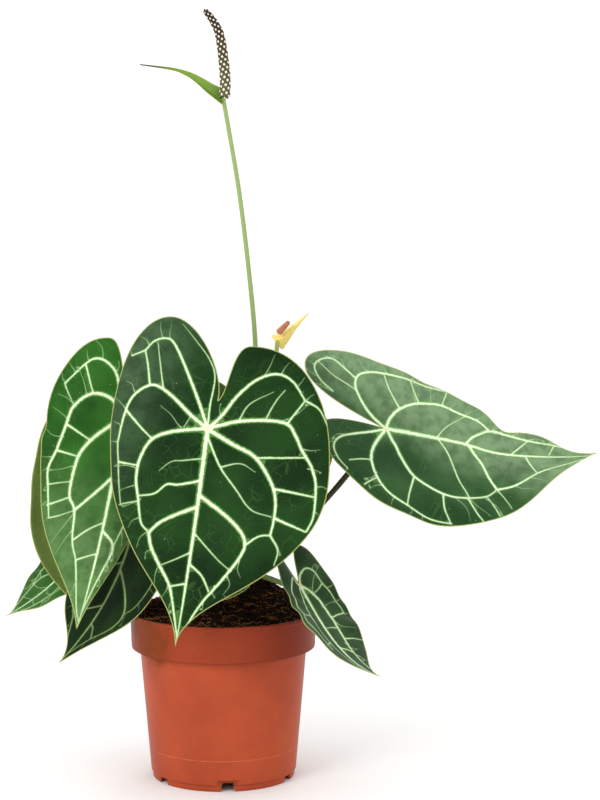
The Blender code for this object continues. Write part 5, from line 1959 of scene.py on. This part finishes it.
LEAVES = (
    Leaf("front", (-0.0075, -0.0520, 0.2289), -104.0, 66.0, 0.0, 0.1352,
         Half(0.062, -0.010, 0.032, 0.073, -0.008, 0.008),
         Half(0.080, 0.032, 0.022, 0.054, 0.012, -0.004), FRONT_SKIN,
         Stalk(258.0, 30.0, 0.060, 0.030, GREEN), FRONT_VEINS, lobe_droop=-6.0,
         fold_plus=4.0, fold_minus=4.0, curl_plus=0.6, curl_minus=0.6, sweep=0.0085,
         apex=(-0.0050, -0.0180)),
    Leaf("left", (-0.0634, -0.0050, 0.2297), -112.0, 72.5, 4.0, 0.1348,
         Half(0.051, 0.008, 0.015, 0.052, 0.001, 0.014),
         Half(0.024, 0.018, 0.011, 0.032, 0.003, 0.004), LEFT_SKIN,
         Stalk(204.0, 74.0, 0.080, 0.046, GREEN), LEFT_VEINS, droop=10.0, fold_plus=8.0,
         fold_minus=-30.0, curl_minus=3.5, sweep=0.017, kink=0.0034),
    Leaf("left_back", (-0.0870, 0.0450, 0.2100), 115.0, 78.0, 0.0, 0.1260,
         Half(0.036, 0.022, 0.016, 0.032), Half(0.040, 0.040, 0.016, 0.032, tip=0.010), OLIVE_SKIN,
         Stalk(148.0, 30.0, 0.050, 0.025, GREEN), droop=4.0),
    Leaf("far_left", (-0.0950, 0.0980, 0.1330), 205.0, 50.0, 18.0, 0.0780,
         Half(0.026, 0.020, 0.012, 0.022, tip=0.000), Half(0.024, 0.020, 0.012, 0.022, tip=0.000),
         LEFT_SKIN, Stalk(118.0, 24.0, 0.045, 0.022, GREEN), droop=-30.0),
    Leaf("low_left", (-0.0557, 0.0080, 0.1715), -154.0, 81.5, 21.0, 0.1110,
         Half(0.046, 0.024, 0.018, 0.024, tip=0.006), Half(0.044, 0.028, 0.018, 0.016, tip=0.015),
         SHADED_SKIN, Stalk(176.0, 24.0, 0.030, 0.025, BROWN), LOW_LEFT_VEINS, droop=-40.0,
         sweep=0.013),
    Leaf("right", (0.1031, -0.0100, 0.2239), 20.5, 20.5, -59.0, 0.1395,
         Half(0.068, 0.030, 0.015, 0.046, 0.001, 0.013),
         Half(0.043, -0.018, 0.026, 0.062, 0.004, 0.000,
              waves=((0.078, -0.0060, 0.010), (0.106, 0.0045, 0.013))), RIGHT_SKIN,
         Stalk(352.0, 30.0, 0.060, 0.025, BROWN, middle=0.0019), RIGHT_VEINS, droop=-36.5,
         fold_plus=18.0, fold_minus=10.0, sweep=-0.010),
    Leaf("low_right", (0.0492, -0.0450, 0.1307), -55.0, 50.0, 10.5, 0.0960,
         Half(0.021, 0.019, 0.014, 0.026, tip=0.004), Half(0.024, 0.019, 0.010, 0.028, tip=0.001),
         LOW_RIGHT_SKIN, Stalk(318.0, 20.0, 0.024, 0.008, PALE), LOW_RIGHT_VEINS, droop=-46.0,
         fold_plus=22.0, fold_minus=22.0, sweep=0.008),
    Leaf("back", (0.0120, 0.0520, 0.2150), 95.0, 62.0, 0.0, 0.1020,
         Half(0.061, 0.012, 0.018, 0.026), Half(0.050, 0.012, 0.022, 0.040), FRONT_SKIN,
         Stalk(80.0, 30.0, 0.050, 0.030, GREEN), droop=14.0),
    Leaf("young", (0.0130, -0.0280, 0.1310), -160.0, 20.0, 35.0, 0.0300,
         Half(0.0095, 0.008, 0.004, 0.003, tip=0.005), Half(0.0095, 0.008, 0.004, 0.003, tip=0.005),
         YOUNG_SKIN, Stalk(296.0, 4.0, 0.004, 0.003, PALE, 0.0013, 0.0010, 0.0011), droop=10.0,
         ripple=0.0002),
)

def tall_width(share: np.ndarray) -> np.ndarray:
    """Half width of the tall spathe, widest at its root and drawn out to a thread."""
    return 0.0003 + 0.0062 * (1.0 - share) ** 1.2 + 0.0008 * np.sin(np.pi * share) * (1.0 - share)


def short_width(share: np.ndarray) -> np.ndarray:
    """Half width of the short spathe, with a rounded root."""
    root = np.minimum(1.0, np.sqrt(share / 0.10 + 0.5))
    return 0.0003 + 0.0058 * (1.0 - share) ** 1.15 * root


TALL = Spike(
    "tall", 60.0, 62.0,
    stalk_points=((0.0150, 0.0060, 0.1900), (0.0200, 0.0030, 0.2400), (0.0208, 0.0, 0.2760),
                  (0.0171, 0.0, 0.3200), (0.0107, 0.0, 0.3733), (0.0018, 0.0, 0.4262),
                  (0.0014, 0.0, 0.4286)),
    spathe_points=((0.0018, 0.0, 0.4300), (-0.0028, 0.0, 0.4322), (-0.0084, 0.0, 0.4358),
                   (-0.0142, 0.0, 0.4405), (-0.0210, 0.0, 0.4450), (-0.0309, 0.0, 0.4486),
                   (-0.0508, 0.0, 0.4516)),
    spathe_hint=(0.0, 0.66, 0.75),
    spathe_width=tall_width,
    spathe_cup=0.34, spathe_slot="spathe_green", spathe_wrap=0.3,
    spike_points=((0.0019, 0.0, 0.4308), (0.0023, 0.0, 0.4420), (0.0013, 0.0, 0.4545),
                  (-0.0011, 0.0, 0.4700), (-0.0052, 0.0, 0.4786), (-0.0107, 0.0, 0.4856)),
    spike_radius=0.0037, spike_tip=0.0019, spike_slot="spadix_dark", flowers=155, flower_size=0.41,
    stalk_finish=FLOWER_GREEN,
    spathe_finish=SpatheFinish("spathe_leaf_green", shade(88, 124, 30), shade(112, 146, 38),
                               shade(46, 36, 30), 0.76),
    spike_finish=SpikeFinish("spike_dark", shade(84, 88, 58), shade(38, 28, 22), shade(236, 218, 194)),
)

SHORT = Spike(
    "short", 8.0, 55.0,
    stalk_points=((0.0220, 0.0140, 0.1900), (0.0320, 0.0090, 0.2450), (0.0344, 0.0050, 0.2752),
                  (0.0348, 0.0050, 0.2768)),
    spathe_points=((0.0336, 0.0050, 0.2774), (0.0384, 0.0050, 0.2812), (0.0452, 0.0050, 0.2876),
                   (0.0546, 0.0050, 0.2962)),
    spathe_hint=(-0.68, 0.25, 0.68),
    spathe_width=short_width,
    spathe_cup=0.60, spathe_slot="spathe_yellow", spathe_wrap=0.0,
    spike_points=((0.0354, 0.0030, 0.2838), (0.0386, 0.0010, 0.2872), (0.0422, 0.0, 0.2910)),
    spike_radius=0.0022, spike_tip=0.0013, spike_slot="spadix_pink", flowers=70,
    stalk_finish=FLOWER_PALE,
    spathe_finish=SpatheFinish("spathe_cream_yellow", shade(232, 206, 104), shade(242, 220, 124),
                               shade(206, 188, 100), 0.84),
    spike_finish=SpikeFinish("spike_pink", shade(188, 118, 84), shade(176, 100, 72), shade(208, 150, 112)),
)


@dataclass
class Plant:
    """The whole potted plant."""

    leaves: tuple[Leaf, ...] = LEAVES
    spikes: tuple[Spike, ...] = (TALL, SHORT)
    blade_maker: BladeMaker = field(default_factory=BladeMaker)

    def petiole(self, leaf: Leaf, crown: Crown, stalks: StalkMaker, dress: bpy.types.Material) -> None:
        """Makes a leaf's stalk, which swells just below the blade."""
        stalk = leaf.stalk
        seat, way = crown.seat(stalk.turn, stalk.climb)
        normal = leaf.normals(np.array([0.0]), np.array([0.0]))[0]
        end = np.array(leaf.joint) - 0.0008 * normal
        route = bezier(seat, seat + stalk.lift * way, end - stalk.settle * normal, end, 70)
        share = np.linspace(0.0, 1.0, len(route))
        radii = stalk.middle + (stalk.foot - stalk.middle) * np.exp(-share * 9.0)
        radii = radii + (stalk.neck - stalk.middle) * np.exp(-((share - 0.93) / 0.05) ** 2)
        radii = radii * (1.0 + 0.03 * np.sin(share * 37.0 + stalk.turn))
        piece = stalks.sweep(f"petiole_{leaf.name}", route, radii, dress)
        declare(piece, "stalk", f"stalk_{leaf.name}")

    def build(self) -> None:
        """Makes every piece of the plant, from the pot up."""
        low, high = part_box("pot")
        pot = Pot(rim_radius=high.x, height=high.z)
        pot.build()
        Mix(pot).build()
        crown = Crown(top=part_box("crown")[1].z)
        crown.stem()
        paper = crown.paper.material()
        for index in range(len(crown.sheaths)):
            crown.sheath(index, paper)
        stalks = StalkMaker()
        skins: dict[str, bpy.types.Material] = {}
        for leaf in self.leaves:
            for finish in (leaf.finish, leaf.stalk.finish):
                if finish.name not in skins:
                    skins[finish.name] = finish.material()
            blade = add_piece("blade_" + leaf.name, self.blade_maker.mesh(leaf), skins[leaf.finish.name])
            declare(blade, "leaf", "leaf_" + leaf.name)
            self.petiole(leaf, crown, stalks, skins[leaf.stalk.finish.name])
        flowers = FlowerMaker()
        for spike in self.spikes:
            spike.build(crown, stalks, flowers)


# ---------------------------------------------------------------- studio
@dataclass(frozen=True)
class Lamp:
    """One soft square lamp that points at the plant."""

    name: str
    place: Point
    size: float
    power: float
    colour: Colour

    def hang(self, aim: Point) -> None:
        """Hangs the lamp and turns it to a place."""
        lamp = bpy.data.lights.new(self.name, "AREA")
        lamp.shape = "SQUARE"
        lamp.size = self.size
        lamp.energy = self.power
        lamp.color = self.colour
        item = bpy.data.objects.new(self.name, lamp)
        item.location = self.place
        item.rotation_euler = (Vector(aim) - Vector(self.place)).to_track_quat("-Z", "Y").to_euler()
        bpy.context.scene.collection.objects.link(item)


@dataclass
class Studio:
    """Pale floor, even sky light, soft lamps and the camera."""

    floor_radius: float = 6.0
    sky: float = 1.13
    aim: Point = (0.0, 0.0, 0.2)
    lamps: tuple[Lamp, ...] = (
        Lamp("key_light", (-1.2, -1.6, 1.2), 0.9, 19.0, (1.0, 0.99, 0.97)),
        Lamp("fill_light", (1.6, -1.2, 0.7), 1.2, 3.0, (0.97, 0.99, 1.0)),
        Lamp("back_light", (0.6, 1.7, 1.5), 1.1, 6.0, (1.0, 1.0, 1.0)))
    camera_place: Point = (0.049, -1.400, 0.381)
    camera_dip: float = 5.7     # how far the camera looks down, in degrees
    focal_length: float = 100.0

    def floor(self) -> None:
        """Makes the round floor."""
        sides = 96
        rings = np.linspace(0.0, self.floor_radius, 9)[1:]
        points = [(0.0, 0.0, 0.0)]
        points += [(radius * math.cos(math.tau * k / sides), radius * math.sin(math.tau * k / sides), 0.0)
                   for radius in rings for k in range(sides)]
        faces = [(0, 1 + k, 1 + (k + 1) % sides) for k in range(sides)]
        for ring in range(len(rings) - 1):
            low, high = 1 + ring * sides, 1 + (ring + 1) * sides
            faces += [(low + k, high + k, high + (k + 1) % sides, low + (k + 1) % sides)
                      for k in range(sides)]
        mesh = bpy.data.meshes.new("studio_floor")
        mesh.from_pydata(points, [], faces)
        add_piece("studio_floor", mesh, FloorFinish().material())

    def build(self) -> None:
        """Sets up the floor, the sky light, the lamps and the camera."""
        self.floor()
        scene = bpy.context.scene
        world = bpy.data.worlds.new("studio_sky")
        world.use_nodes = True
        back = world.node_tree.nodes["Background"]
        back.inputs["Color"].default_value = (1.0, 1.0, 1.0, 1.0)
        back.inputs["Strength"].default_value = self.sky
        scene.world = world
        scene.view_settings.view_transform = "Standard"
        for lamp in self.lamps:
            lamp.hang(self.aim)
        lens = bpy.data.cameras.new("studio_camera")
        lens.lens = self.focal_length
        lens.sensor_width = 36.0
        lens.clip_end = 50.0
        camera = bpy.data.objects.new("studio_camera", lens)
        camera.location = self.camera_place
        camera.rotation_euler = (math.radians(90.0 - self.camera_dip), 0.0, 0.0)
        scene.collection.objects.link(camera)
        scene.camera = camera


def main() -> None:
    """Builds the plant and the studio; each plant piece's face count is logged as it is made."""
    logging.basicConfig(level=logging.INFO, format="%(message)s", stream=sys.stdout)
    Plant().build()
    Studio().build()


if __name__ == "__main__":
    main()
